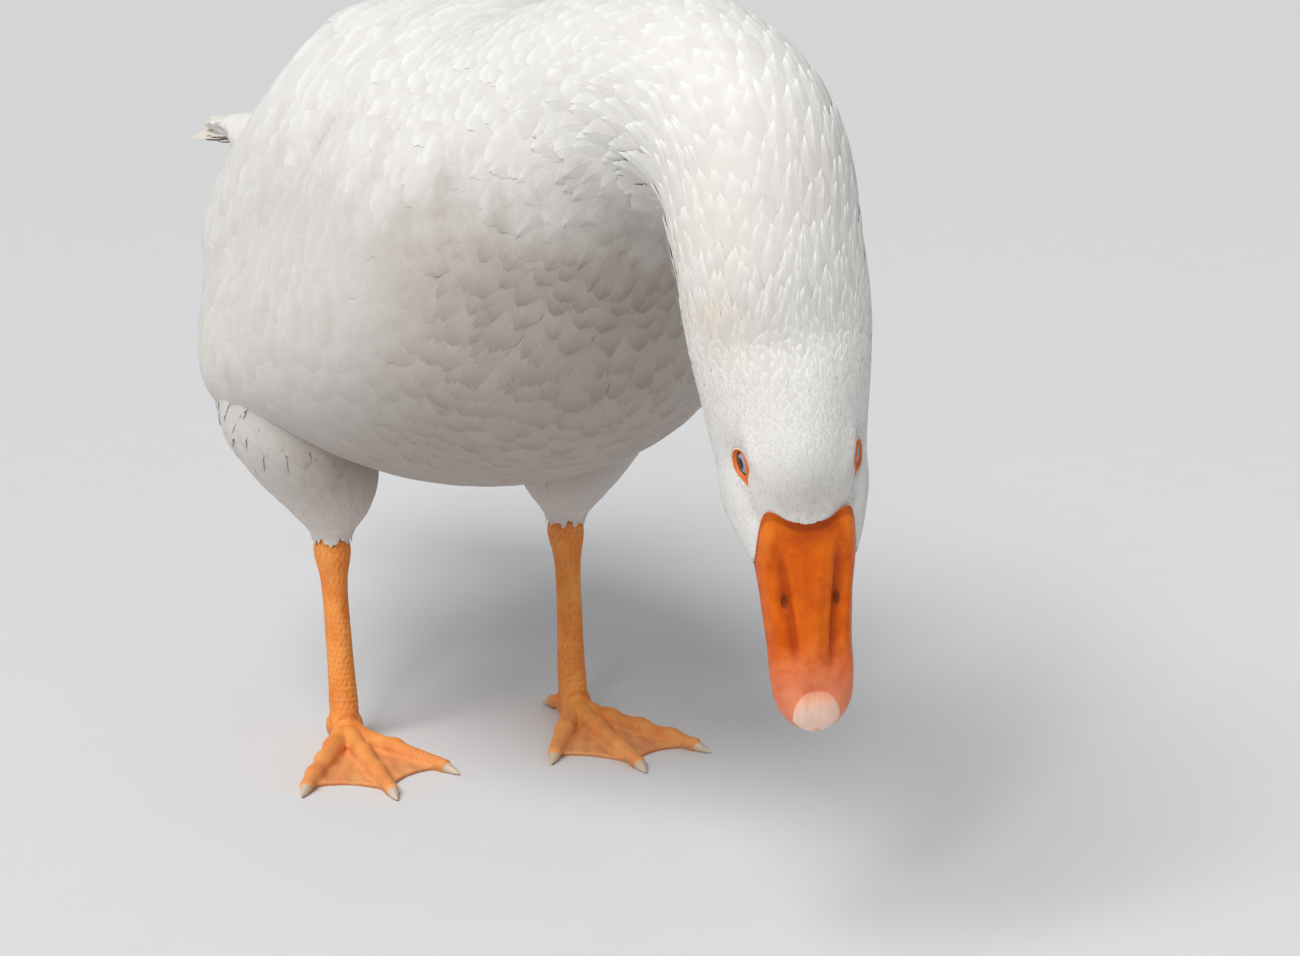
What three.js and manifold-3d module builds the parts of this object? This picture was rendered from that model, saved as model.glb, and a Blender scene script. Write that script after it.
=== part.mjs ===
// A domestic goose that stands with its neck arched forward and its bill pointing down.
// Millimetres, +Z up. The goose faces -Y and its left side is +X.
import * as THREE from 'three';
import { mergeVertices } from 'three/addons/utils/BufferGeometryUtils.js';
import Module from 'manifold-3d';

const wasm = await Module();
wasm.setup();

// Driving dimensions
const gap = 0.3;
const ringSides = 24;
const tailSteps = 7;
const trunkSteps = 20;
const wingThickness = 15;
const flightThickness = 6;
const wingEdgeThickness = 3.5;
const wingEdgeFall = 2;
const wingTopThinning = 0.7;
const eyeRadius = 7.5;
const eyeSpread = 16;
const eyeAcross = -1;
const eyeRise = 3.6;
const footHeight = 13;
const webThickness = 1.8;
const clawLength = 9;

// Head frame: a point between the eyes, and the head's three turns in degrees.
const headPlace = new THREE.Vector3(24, -353.6, 205);
const headTilt = -12;
const headLean = -3.2;
const headTurn = -12;

const colours = {
  plumage: { color: 0xf3f1ea, roughness: 0.85, metalness: 0 },
  bill: { color: 0xe06a12, roughness: 0.4, metalness: 0 },
  nail: { color: 0xe8c4a4, roughness: 0.35, metalness: 0 },
  eye: { color: 0x4d6f8c, roughness: 0.08, metalness: 0 },
  leg: { color: 0xdd7a2a, roughness: 0.55, metalness: 0 },
  claw: { color: 0xd8c6a6, roughness: 0.4, metalness: 0 },
};

const group = new THREE.Group();
const radians = THREE.MathUtils.degToRad;

// Solids

function manifoldOf(geometry) {
  const bare = geometry.clone();
  bare.deleteAttribute('normal');
  bare.deleteAttribute('uv');
  const merged = mergeVertices(bare, 1e-4);
  return new wasm.Manifold(new wasm.Mesh({
    numProp: 3,
    vertProperties: Float32Array.from(merged.attributes.position.array),
    triVerts: Uint32Array.from(merged.index.array),
  }));
}

function geometryOf(solid) {
  const mesh = solid.getMesh();
  const geometry = new THREE.BufferGeometry();
  geometry.setAttribute('position', new THREE.BufferAttribute(mesh.vertProperties, 3));
  geometry.setIndex(new THREE.BufferAttribute(mesh.triVerts, 1));
  geometry.computeVertexNormals();
  return geometry;
}

function signedVolume(points, triangles) {
  let total = 0;
  for (const [a, b, c] of triangles) {
    total += points[a].dot(points[b].clone().cross(points[c]));
  }
  return total / 6;
}

// A closed solid from points and triangles, turned so that its faces point out.
function solidFrom(points, triangles) {
  const outward = signedVolume(points, triangles) > 0;
  const order = outward ? triangles : triangles.map(([a, b, c]) => [a, c, b]);
  const geometry = new THREE.BufferGeometry();
  const positions = points.flatMap((p) => [p.x, p.y, p.z]);
  geometry.setAttribute('position', new THREE.Float32BufferAttribute(positions, 3));
  geometry.setIndex(order.flat());
  return manifoldOf(geometry);
}

// A solid skinned over equal rings of points, with a point at the middle of each end.
function loftRings(rings) {
  const sides = rings[0].length;
  const points = rings.flat();
  const triangles = [];
  for (let i = 0; i < rings.length - 1; i++) {
    for (let j = 0; j < sides; j++) {
      const a = i * sides + j;
      const b = i * sides + (j + 1) % sides;
      triangles.push([a, b, b + sides], [a, b + sides, a + sides]);
    }
  }
  for (const end of [0, rings.length - 1]) {
    const middle = new THREE.Vector3();
    rings[end].forEach((p) => middle.addScaledVector(p, 1 / sides));
    points.push(middle);
    for (let j = 0; j < sides; j++) {
      const a = end * sides + j;
      const b = end * sides + (j + 1) % sides;
      triangles.push(end === 0 ? [points.length - 1, b, a] : [points.length - 1, a, b]);
    }
  }
  return solidFrom(points, triangles);
}

// Everything on the far side of a plane, as a large box.
function beyond(point, normal) {
  const size = 900;
  const box = new THREE.BoxGeometry(size, size, size);
  box.translate(0, 0, size / 2);
  const turn = new THREE.Quaternion().setFromUnitVectors(
    new THREE.Vector3(0, 0, 1), normal.clone().normalize());
  box.applyQuaternion(turn);
  box.translate(point.x, point.y, point.z);
  return manifoldOf(box);
}

function addNode(name, solid, look) {
  const mesh = new THREE.Mesh(geometryOf(solid), new THREE.MeshStandardMaterial(colours[look]));
  mesh.name = name;
  group.add(mesh);
}

// Splines through rows of numbers, spaced by the distance between the rows.

function slopesOf(rows, knots) {
  const last = rows.length - 1;
  const slopeAfter = (i) => rows[i].map((value, k) => (rows[i + 1][k] - value) / (knots[i + 1] - knots[i]));
  return rows.map((row, i) => {
    if (i === 0) return slopeAfter(0);
    if (i === last) return slopeAfter(last - 1);
    const before = knots[i] - knots[i - 1];
    const after = knots[i + 1] - knots[i];
    const [left, right] = [slopeAfter(i - 1), slopeAfter(i)];
    return row.map((_, k) => (left[k] * after + right[k] * before) / (before + after));
  });
}

function splineThrough(rows, knots, slopes = slopesOf(rows, knots)) {
  return (s) => {
    let i = 0;
    while (i < rows.length - 2 && s > knots[i + 1]) i++;
    const span = knots[i + 1] - knots[i];
    const f = (s - knots[i]) / span;
    const near = 1 - f;
    return rows[i].map((value, k) => near * near * (1 + 2 * f) * value
      + f * near * near * span * slopes[i][k]
      + f * f * (3 - 2 * f) * rows[i + 1][k]
      - f * f * near * span * slopes[i + 1][k]);
  };
}

// Head frame: bill direction, the goose's left, and the crown's direction.

function headAxes() {
  const tilt = radians(headTilt);
  const axes = [
    new THREE.Vector3(0, Math.sin(tilt), -Math.cos(tilt)),
    new THREE.Vector3(1, 0, 0),
    new THREE.Vector3(0, -Math.cos(tilt), -Math.sin(tilt)),
  ];
  for (const axis of axes) {
    axis.applyAxisAngle(new THREE.Vector3(0, 1, 0), radians(headLean));
    axis.applyAxisAngle(new THREE.Vector3(0, 0, 1), radians(headTurn));
  }
  return axes;
}

const [billward, leftward, crownward] = headAxes();

function headPoint(along, across, rise) {
  return headPlace.clone()
    .addScaledVector(billward, along)
    .addScaledVector(leftward, across)
    .addScaledVector(crownward, rise);
}

// Sections of the body from the tail to the neck: where the middle is, half of the width,
// the reach above and below the middle, how much lower than the middle it is widest, and
// how far the section is turned about the vertical in degrees.

const bodySections = {
  tailTip: { y: 350, z: 270, x: 0, half: 26, above: 1.6, below: 1.6, egg: 0, turn: 0 },
  tailEdge: { y: 340, z: 270, x: 0, half: 45, above: 2.6, below: 2.2, egg: 0, turn: 0 },
  tailFan: { y: 316, z: 269, x: 0, half: 57, above: 6, below: 4.5, egg: 0, turn: 0 },
  tailBase: { y: 268, z: 266, x: 0, half: 49, above: 16, below: 18, egg: 0.05, turn: 0 },
  tailRoot: { y: 232, z: 250, x: 0, half: 54, above: 38, below: 28, egg: 0.08, turn: 0 },
  rump: { y: 184, z: 231, x: 0, half: 76, above: 72, below: 72, egg: 0.1, turn: 0 },
  hips: { y: 112, z: 212, x: 0, half: 98, above: 117, below: 99, egg: 0.13, turn: 0 },
  middle: { y: 25, z: 207, x: 0, half: 103, above: 145, below: 77, egg: 0.13, turn: 0 },
  breast: { y: -62, z: 218, x: 0, half: 101, above: 146, below: 80, egg: 0.11, turn: 0 },
  shoulder: { y: -130, z: 251, x: 0, half: 88, above: 126, below: 86, egg: 0.08, turn: 0 },
  neckRoot: { y: -188, z: 298, x: 2, half: 56, above: 75, below: 70, egg: 0.04, turn: 0 },
  neckRise: { y: -240, z: 322, x: 7, half: 42, above: 48, below: 46, egg: 0, turn: 0 },
  archTop: { y: -286, z: 325, x: 13, half: 38, above: 42, below: 34, egg: 0, turn: 3 },
  archFront: { y: -323.5, z: 310.5, x: 16, half: 36, above: 38, below: 34, egg: 0, turn: 6 },
  neckDrop: { y: -339.5, z: 282, x: 16.5, half: 35, above: 33, below: 37.5, egg: 0, turn: 9 },
};

// Sections of the head, placed along the bill's direction from the point between the eyes.

const headSections = {
  nape: { along: -46, across: -3, rise: -4, half: 34.5, above: 28.5, below: 37, egg: 0 },
  occiput: { along: -30, across: -2, rise: -7, half: 32.5, above: 30.5, below: 32, egg: 0.05 },
  temple: { along: -14, across: -1.5, rise: -8.5, half: 30, above: 31, below: 28, egg: 0.1 },
  eyes: { along: 0, across: -1, rise: -9, half: 28, above: 30, below: 24, egg: 0.14 },
  cheek: { along: 14, across: -0.5, rise: -9.5, half: 27.3, above: 24.5, below: 20.5, egg: 0.16 },
  lores: { along: 26, across: 0, rise: -9, half: 24, above: 18.5, below: 16.5, egg: 0.14 },
  gape: { along: 42, across: 0, rise: -8, half: 18, above: 11, below: 11, egg: 0 },
};

// One row for each section: middle, sideways direction, radii and egg shape.
function sectionRows() {
  const rows = Object.values(bodySections).map((section) => {
    const turn = radians(-section.turn);
    return [section.x, section.y, section.z, Math.cos(turn), Math.sin(turn), 0,
      section.half, section.above, section.below, section.egg];
  });
  for (const section of Object.values(headSections)) {
    rows.push([...headPoint(section.along, section.across, section.rise), ...leftward,
      section.half, section.above, section.below, section.egg]);
  }
  return rows;
}

const rows = sectionRows();
const sectionNames = [...Object.keys(bodySections), ...Object.keys(headSections)];
const knots = rows.map(() => 0);
for (let i = 1; i < rows.length; i++) {
  knots[i] = knots[i - 1] + Math.hypot(...[0, 1, 2].map((k) => rows[i][k] - rows[i - 1][k]));
}

// The spine runs through its sections at an even pace, which keeps its bends round.
const rowSlopes = slopesOf(rows, knots).map((slope) => {
  const pace = Math.hypot(...slope.slice(0, 3));
  return slope.map((value, k) => (k < 3 ? value / pace : value));
});
const sectionSpline = splineThrough(rows, knots, rowSlopes);
const lengthAt = (name) => knots[sectionNames.indexOf(name)];

// The section's frame and radii at a length along the spine from the tail's tip.
function sectionAt(length) {
  const step = 0.5;
  const [ahead, behind] = [length + step, length - step].map(sectionSpline);
  const values = sectionSpline(length);
  const middle = new THREE.Vector3(...values);
  const travel = new THREE.Vector3(...ahead).sub(new THREE.Vector3(...behind)).normalize();
  const side = new THREE.Vector3(...values.slice(3));
  side.addScaledVector(travel, -side.dot(travel)).normalize();
  const up = travel.clone().cross(side);
  const [half, above, below, egg] = values.slice(6);
  return { middle, travel, side, up, half, above, below, egg };
}

function sectionPoint(section, angle, offset) {
  const across = Math.cos(angle);
  const rise = Math.sin(angle);
  const reach = (rise > 0 ? section.above : section.below) + offset;
  const width = (section.half + offset) * across * (1 - section.egg * rise);
  return section.middle.clone()
    .addScaledVector(section.side, width)
    .addScaledVector(section.up, reach * rise);
}

function sectionRing(length, offset) {
  const section = sectionAt(length);
  return Array.from({ length: ringSides },
    (_, j) => sectionPoint(section, 2 * Math.PI * j / ringSides, offset));
}

function ringsBetween(from, to, steps, offset = 0) {
  return Array.from({ length: steps + 1 },
    (_, i) => sectionRing(from + (to - from) * i / steps, offset));
}

// One length of the body, from one distance along the spine to another.
function bodyLength(from, to, steps) {
  return loftRings(ringsBetween(from, to, steps));
}

// The tail and trunk together, larger by the gap, to cut what lies against them.
function trunkCover() {
  const root = lengthAt('tailRoot');
  const tail = ringsBetween(lengthAt('tailTip'), root, tailSteps, gap).slice(0, -1);
  const trunk = ringsBetween(root, lengthAt('neckRoot'), trunkSteps, gap);
  return loftRings([...tail, ...trunk]);
}

function makeBody() {
  const lengths = [
    ['tail', 'tailTip', 'tailRoot', tailSteps],
    ['trunk', 'tailRoot', 'neckRoot', trunkSteps],
    ['neck_base', 'neckRoot', 'archTop', 5],
    ['neck_arch', 'archTop', 'neckDrop', 5],
    ['neck_upper', 'neckDrop', 'occiput', 4],
  ];
  for (const [name, from, to, steps] of lengths) {
    addNode(name, bodyLength(lengthAt(from) + gap / 2, lengthAt(to) - gap / 2, steps), 'plumage');
  }
}

// Bill

const billSections = [
  { along: 18, half: 19, top: 12, mouth: -7, bottom: -21 },
  { along: 36, half: 19, top: 7, mouth: -8.5, bottom: -20.5 },
  { along: 52, half: 17, top: 2.5, mouth: -11, bottom: -19.5 },
  { along: 68, half: 15.6, top: -1, mouth: -12.5, bottom: -19 },
  { along: 84, half: 15, top: -5, mouth: -13, bottom: -18 },
  { along: 95, half: 12.4, top: -8, mouth: -13.5, bottom: -16.5 },
  { along: 101, half: 6, top: -11, mouth: -13.8, bottom: -15 },
];
const billBase = { culmen: 25, slant: 0.52, top: 9 };
const billSolid = { from: 18, to: 101, steps: 12, sides: 12, overbite: 1.4 };
const billSpline = splineThrough(
  billSections.map((row) => [row.half, row.top, row.mouth, row.bottom]),
  billSections.map((row) => row.along));

// Half an ellipse over a flat mouth line: up for the upper half of the bill, down for the lower.
function mandible(upper) {
  const { from, to, steps, sides, overbite } = billSolid;
  const rings = [];
  for (let i = 0; i <= steps; i++) {
    const along = from + (to - from) * i / steps;
    const [half, top, mouth, bottom] = billSpline(along);
    const ring = [];
    for (let j = 0; j <= sides; j++) {
      const angle = Math.PI * j / sides;
      const width = (upper ? half : half - overbite) * Math.cos(angle);
      const rise = upper
        ? mouth + (top - mouth) * Math.sin(angle)
        : mouth - gap + (bottom - mouth + gap) * Math.sin(angle);
      ring.push(headPoint(along, width, rise));
    }
    rings.push(ring);
  }
  return loftRings(rings);
}

function billBasePlane(shift) {
  const edge = headPoint(billBase.culmen + shift, 0, billBase.top);
  const normal = billward.clone().addScaledVector(crownward, billBase.slant);
  return [edge, normal];
}

function makeBill() {
  const nail = { along: 97, radius: 9.5, length: 40 };
  const shaft = (radius) => {
    const cylinder = new THREE.CylinderGeometry(radius, radius, nail.length, 20);
    cylinder.applyQuaternion(new THREE.Quaternion().setFromUnitVectors(
      new THREE.Vector3(0, 1, 0), crownward));
    cylinder.translate(...headPoint(nail.along, 0, 0));
    return manifoldOf(cylinder);
  };
  const [point, normal] = billBasePlane(gap);
  const behindBase = beyond(point, normal.negate());
  const upper = mandible(true).subtract(behindBase);
  addNode('bill_upper', upper.subtract(shaft(nail.radius + gap)), 'bill');
  addNode('bill_nail', upper.intersect(shaft(nail.radius)), 'nail');
  addNode('bill_lower', mandible(false).subtract(behindBase), 'bill');
}

// Head and eyes

function eyeball(side, radius) {
  const sphere = new THREE.SphereGeometry(radius, 14, 10);
  sphere.translate(...headPoint(0, eyeAcross + side * eyeSpread, eyeRise));
  return manifoldOf(sphere);
}

function makeHead() {
  let head = bodyLength(lengthAt('occiput') + gap / 2, lengthAt('gape'), 9);
  head = head.subtract(beyond(...billBasePlane(0)));
  for (const [name, side] of [['eye_left', 1], ['eye_right', -1]]) {
    head = head.subtract(eyeball(side, eyeRadius + gap));
    addNode(name, eyeball(side, eyeRadius), 'eye');
  }
  addNode('head', head, 'plumage');
}

// Wings: a patch over the side of the back, thin at its edges, that runs back to a point.

const wingSpan = { front: 'breast', frontShift: 32, back: 'tailBase', backShift: -26 };
const wingGrid = { steps: 19, strips: 6 };
const wingRoot = 5;
const wingParting = 150;

// The lowest and highest angle round the body that the folded wing covers.
function wingEdges(part) {
  const low = 4 + 42 * (1 - part) ** 2.6 + 9 * part ** 6;
  const high = 84 - 46 * part ** 5 - 22 * (1 - part) ** 6;
  return [radians(low), radians(high)];
}

function wingPatch(side) {
  const from = lengthAt(wingSpan.front) + wingSpan.frontShift;
  const to = lengthAt(wingSpan.back) + wingSpan.backShift;
  const { steps, strips } = wingGrid;
  const inner = [];
  const outer = [];
  for (let i = 0; i <= steps; i++) {
    const part = i / steps;
    const section = sectionAt(from + (to - from) * part);
    const [low, high] = wingEdges(part);
    const fullness = flightThickness + (wingThickness - flightThickness)
      * THREE.MathUtils.smoothstep(1 - part, 0.25, 0.75);
    const ends = Math.min(1, 3.2 * part) ** 0.8 * Math.min(1, 5 * (1 - part) + 0.35) ** 0.5;
    const innerRow = [];
    const outerRow = [];
    for (let j = 0; j <= strips; j++) {
      const across = 2 * j / strips - 1;
      const turn = low + (high - low) * j / strips;
      const angle = side > 0 ? turn : Math.PI - turn;
      const slope = 1 - wingTopThinning * THREE.MathUtils.smoothstep(across, 0.1, 1);
      const edge = wingEdgeThickness - wingEdgeFall * across;
      const thickness = edge + (fullness - edge) * ends * slope * (1 - across ** 4);
      innerRow.push(sectionPoint(section, angle, -Math.min(wingRoot, section.above / 3)));
      outerRow.push(sectionPoint(section, angle, thickness));
    }
    inner.push(innerRow);
    outer.push(outerRow);
  }
  const rings = outer.map((row, i) => [...row, ...inner[i].reverse()]);
  return loftRings(rings);
}

function makeWings() {
  const cover = trunkCover();
  for (const [name, side] of [['left', 1], ['right', -1]]) {
    const wing = wingPatch(side).subtract(cover);
    const back = new THREE.Vector3(0, 1, 0);
    const parting = new THREE.Vector3(0, wingParting, 0);
    const tipSide = parting.clone().setY(wingParting + gap);
    addNode(`wing_${name}`, wing.subtract(beyond(parting, back)), 'plumage');
    addNode(`flight_feathers_${name}`, wing.subtract(beyond(tipSide, back.negate())), 'plumage');
  }
}

// Legs and feet

const thighSections = [
  { z: 206, x: 62, y: 44, rx: 36, ry: 62 },
  { z: 168, x: 70, y: 42, rx: 38, ry: 60 },
  { z: 145, x: 69, y: 38, rx: 36, ry: 54 },
  { z: 126, x: 64, y: 31, rx: 28.5, ry: 39 },
  { z: 111, x: 60, y: 26, rx: 18.5, ry: 24 },
  { z: 99.3, x: 59, y: 25, rx: 10, ry: 12.5 },
];
const shankSections = [
  { z: 99, x: 59, y: 25, rx: 7.5, ry: 9.5 },
  { z: 92, x: 59, y: 25, rx: 8.5, ry: 11 },
  { z: 80, x: 59, y: 23, rx: 6.4, ry: 9 },
  { z: 50, x: 58.5, y: 18, rx: 5.8, ry: 8 },
  { z: 24, x: 58, y: 14, rx: 6.4, ry: 8.4 },
  { z: 13, x: 58, y: 12, rx: 7, ry: 9 },
];

// A limb of level oval sections, mirrored for the right side.
function limb(sections, side, sides, steps) {
  const spline = splineThrough(
    sections.map((row) => [row.x, row.y, row.rx, row.ry]),
    sections.map((row) => sections[0].z - row.z));
  const [top, bottom] = [sections[0].z, sections.at(-1).z];
  const rings = [];
  for (let i = 0; i <= steps; i++) {
    const z = top + (bottom - top) * i / steps;
    const [x, y, rx, ry] = spline(top - z);
    rings.push(Array.from({ length: sides }, (_, j) => {
      const angle = 2 * Math.PI * j / sides;
      return new THREE.Vector3(side * x + rx * Math.cos(angle), y + ry * Math.sin(angle), z);
    }));
  }
  return loftRings(rings);
}

// A tapered round bar through points with a radius at each.
function taperedBar(points, sides) {
  const rings = points.map((row, i) => {
    const ahead = points[Math.min(i + 1, points.length - 1)].at;
    const behind = points[Math.max(i - 1, 0)].at;
    const travel = ahead.clone().sub(behind).normalize();
    const across = new THREE.Vector3(0, 0, 1).cross(travel).normalize();
    const up = travel.clone().cross(across);
    return Array.from({ length: sides }, (_, j) => {
      const angle = 2 * Math.PI * (j + 0.5) / sides;
      return row.at.clone()
        .addScaledVector(across, row.radius * Math.cos(angle))
        .addScaledVector(up, row.radius * Math.sin(angle));
    });
  });
  return loftRings(rings);
}

const footPlace = { x: 58, y: 11 };
const webDip = 0.76;
const heel = { radius: 9, stretch: 1.15, height: 7, back: 1 };
const clawForm = { radius: 2.5, taper: 0.75, tipHeight: 1.1 };
const toes = [
  { name: 'outer', angle: 27, length: 82, joints: [0.3, 0.55, 0.8] },
  { name: 'middle', angle: 1, length: 91, joints: [0.38, 0.7] },
  { name: 'inner', angle: -26, length: 72, joints: [0.5] },
  { name: 'hind', angle: 196, length: 19, joints: [] },
];

// The direction of a toe on one side: 0 degrees is straight ahead and outward is positive.
function toeDirection(toe, side) {
  const angle = radians(toe.angle);
  return new THREE.Vector3(side * Math.sin(angle), -Math.cos(angle), 0);
}

// Where the middle of a toe lies at a part of its length, with its radius there.
function toeAt(toe, side, part) {
  const hind = toe.name === 'hind';
  const swell = toe.joints.reduce((sum, joint) => sum + Math.exp(-(((part - joint) / 0.06) ** 2)), 0);
  const radius = (hind ? 3.4 : 5.2 - 2 * part) + 0.8 * swell;
  const start = hind ? 8.5 : 7;
  const height = hind ? start - 5.2 * part : Math.max(radius * 0.78, start - 16 * part);
  const at = new THREE.Vector3(side * footPlace.x, footPlace.y, height)
    .addScaledVector(toeDirection(toe, side), toe.length * part);
  return { at, radius };
}

function toeBar(toe, side) {
  const steps = toe.name === 'hind' ? 3 : 8;
  const points = Array.from({ length: steps + 1 }, (_, i) => toeAt(toe, side, i / steps));
  return taperedBar(points, 8);
}

function claw(toe, side) {
  const forward = toeDirection(toe, side);
  const root = toeAt(toe, side, 1).at;
  const travel = root.clone().sub(toeAt(toe, side, 0.95).at).normalize();
  const drop = [0, 0.12, 0.45, 1];
  const points = [-0.1, 0.35, 0.7, 1].map((part, i) => ({
    at: root.clone()
      .addScaledVector(forward, clawLength * part)
      .add(new THREE.Vector3(0, 0, -(root.z - clawForm.tipHeight) * drop[i])),
    radius: clawForm.radius * (1 - clawForm.taper * Math.max(0, part)),
  }));
  const behindToe = beyond(root.clone().addScaledVector(travel, gap), travel.negate());
  return taperedBar(points, 8).subtract(behindToe);
}

function web(side) {
  const tip = (toe, part) => {
    const at = toeAt(toe, side, part).at;
    return new THREE.Vector2(at.x, at.y);
  };
  const [outer, middle, inner] = toes;
  const shape = new THREE.Shape();
  shape.moveTo(...tip(middle, -0.06));
  shape.lineTo(...tip(outer, 0.94));
  shape.quadraticCurveTo(...tip(middle, webDip).lerp(tip(outer, webDip), 0.5), ...tip(middle, 0.94));
  shape.quadraticCurveTo(...tip(middle, webDip).lerp(tip(inner, webDip), 0.5), ...tip(inner, 0.94));
  shape.closePath();
  return manifoldOf(new THREE.ExtrudeGeometry(shape,
    { depth: webThickness, bevelEnabled: false, curveSegments: 6 }));
}

function foot(side) {
  const ball = new THREE.SphereGeometry(heel.radius, 12, 8);
  ball.scale(1, heel.stretch, 1);
  ball.translate(side * footPlace.x, footPlace.y + heel.back, heel.height);
  let solid = web(side).add(manifoldOf(ball));
  for (const toe of toes) solid = solid.add(toeBar(toe, side));
  return solid
    .subtract(beyond(new THREE.Vector3(), new THREE.Vector3(0, 0, -1)))
    .subtract(beyond(new THREE.Vector3(0, 0, footHeight - gap), new THREE.Vector3(0, 0, 1)));
}

function makeLegs() {
  const cover = trunkCover();
  const floor = beyond(new THREE.Vector3(), new THREE.Vector3(0, 0, -1));
  for (const [name, side] of [['left', 1], ['right', -1]]) {
    addNode(`thigh_${name}`, limb(thighSections, side, 18, 9).subtract(cover), 'plumage');
    addNode(`shank_${name}`, limb(shankSections, side, 12, 8), 'leg');
    addNode(`foot_${name}`, foot(side), 'leg');
    for (const toe of toes) {
      addNode(`claw_${name}_${toe.name}`, claw(toe, side).subtract(floor), 'claw');
    }
  }
}

// The origin goes under the middle of the whole goose, on the floor.
function centreOnFloor() {
  const middle = new THREE.Box3().setFromObject(group).getCenter(new THREE.Vector3());
  for (const mesh of group.children) mesh.geometry.translate(-middle.x, -middle.y, 0);
}

makeBody();
makeBill();
makeHead();
makeWings();
makeLegs();
centreOnFloor();

export default group;
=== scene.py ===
import math

import bpy
import numpy as np
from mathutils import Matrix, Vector


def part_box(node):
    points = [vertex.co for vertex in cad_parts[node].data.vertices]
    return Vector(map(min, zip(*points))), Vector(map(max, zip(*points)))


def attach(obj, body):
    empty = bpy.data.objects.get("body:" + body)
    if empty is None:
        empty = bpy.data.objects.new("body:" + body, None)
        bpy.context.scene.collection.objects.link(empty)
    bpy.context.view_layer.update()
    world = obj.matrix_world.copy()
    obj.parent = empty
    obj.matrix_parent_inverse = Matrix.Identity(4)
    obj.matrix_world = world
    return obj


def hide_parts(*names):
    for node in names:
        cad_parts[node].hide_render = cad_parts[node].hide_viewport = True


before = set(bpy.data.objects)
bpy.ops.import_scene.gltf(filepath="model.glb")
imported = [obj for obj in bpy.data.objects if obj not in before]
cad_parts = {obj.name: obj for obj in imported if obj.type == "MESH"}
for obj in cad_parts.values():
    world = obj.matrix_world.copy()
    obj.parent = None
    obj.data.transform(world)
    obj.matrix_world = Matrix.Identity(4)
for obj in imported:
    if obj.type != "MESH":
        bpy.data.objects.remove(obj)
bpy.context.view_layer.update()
print("frame loaded with", len(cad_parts), "nodes")

# Shapes are worked out in millimetres in the maker's frame and set down in metres.
metres = 0.001
fullTurn = 2 * math.pi


def smooth(low, high, value):
    part = np.clip((value - low) / (high - low), 0, 1)
    return part * part * (3 - 2 * part)


def unit(vectors):
    return vectors / np.linalg.norm(vectors, axis=-1, keepdims=True)


def bell(value, width):
    return np.exp(-(value / width) ** 2)


def turns(count):
    return fullTurn * np.arange(count) / count


def gridOf(rows, columns):
    return np.meshgrid(rows, columns, indexing="ij")


# A moving average over a soft window, for values in a row.
def evened(values, window, edge="edge"):
    weights = np.hanning(window)
    return np.convolve(np.pad(values, window // 2, edge), weights / weights.sum(), "valid")


bothSides = (("Left", 1), ("Right", -1))


# Head frame: a point between the eyes and three turns in degrees.
headPose = {"place": (24, -353.6, 205), "tilt": -12, "lean": -3.2, "turn": -12}
eyeForm = {"radius": 7.5, "across": -1, "spread": 16, "rise": 3.6, "inset": 1.3, "up": 13, "forward": 7,
           "cornea": 0.4, "corneaReach": 0.55, "underLids": 2.4}


def headAxis(vector):
    lean, turn = math.radians(headPose["lean"]), math.radians(headPose["turn"])
    x, y, z = vector
    x, z = x * math.cos(lean) + z * math.sin(lean), z * math.cos(lean) - x * math.sin(lean)
    x, y = x * math.cos(turn) - y * math.sin(turn), x * math.sin(turn) + y * math.cos(turn)
    return np.array((x, y, z))


headTilt = math.radians(headPose["tilt"])
headPlace = np.array(headPose["place"], float)
billward = headAxis((0, math.sin(headTilt), -math.cos(headTilt)))
leftward = headAxis((1, 0, 0))
crownward = headAxis((0, -math.cos(headTilt), -math.sin(headTilt)))


def headPoint(along, across, rise):
    along, across, rise = np.broadcast_arrays(along, across, rise)
    return (headPlace + billward * along[..., None] + leftward * across[..., None]
            + crownward * rise[..., None])


def headCoords(points):
    away = points - headPlace
    return away @ billward, away @ leftward, away @ crownward


def eyeCentre(side):
    return headPoint(0, eyeForm["across"] + side * eyeForm["spread"], eyeForm["rise"])


# The way each eye looks: along the lids towards the bill, across them and straight out.
def eyeAxes(side):
    up, forward = math.radians(eyeForm["up"]), math.radians(eyeForm["forward"])
    level = leftward * side * math.cos(up) + crownward * math.sin(up)
    out = level * math.cos(forward) + billward * math.sin(forward)
    along = unit(billward - out * (billward @ out))
    return along, np.cross(along, out) * side, out


def eyeCoords(points, side):
    along, rise, out = eyeAxes(side)
    away = points - eyeCentre(side)
    return away @ along, away @ rise, away @ out


def eyePoint(side, along, rise, out):
    axes = eyeAxes(side)
    amounts = (along, rise, out)
    return eyeCentre(side) + sum(axis * amount[..., None] for axis, amount in zip(axes, amounts))


# The frame's origin is found from where the eyes are.
def nodeMiddle(node):
    low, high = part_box(node)
    return np.array((low + high) / 2) / metres


frameShift = (nodeMiddle("eye_left") + nodeMiddle("eye_right") - eyeCentre(1) - eyeCentre(-1)) / 2

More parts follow.
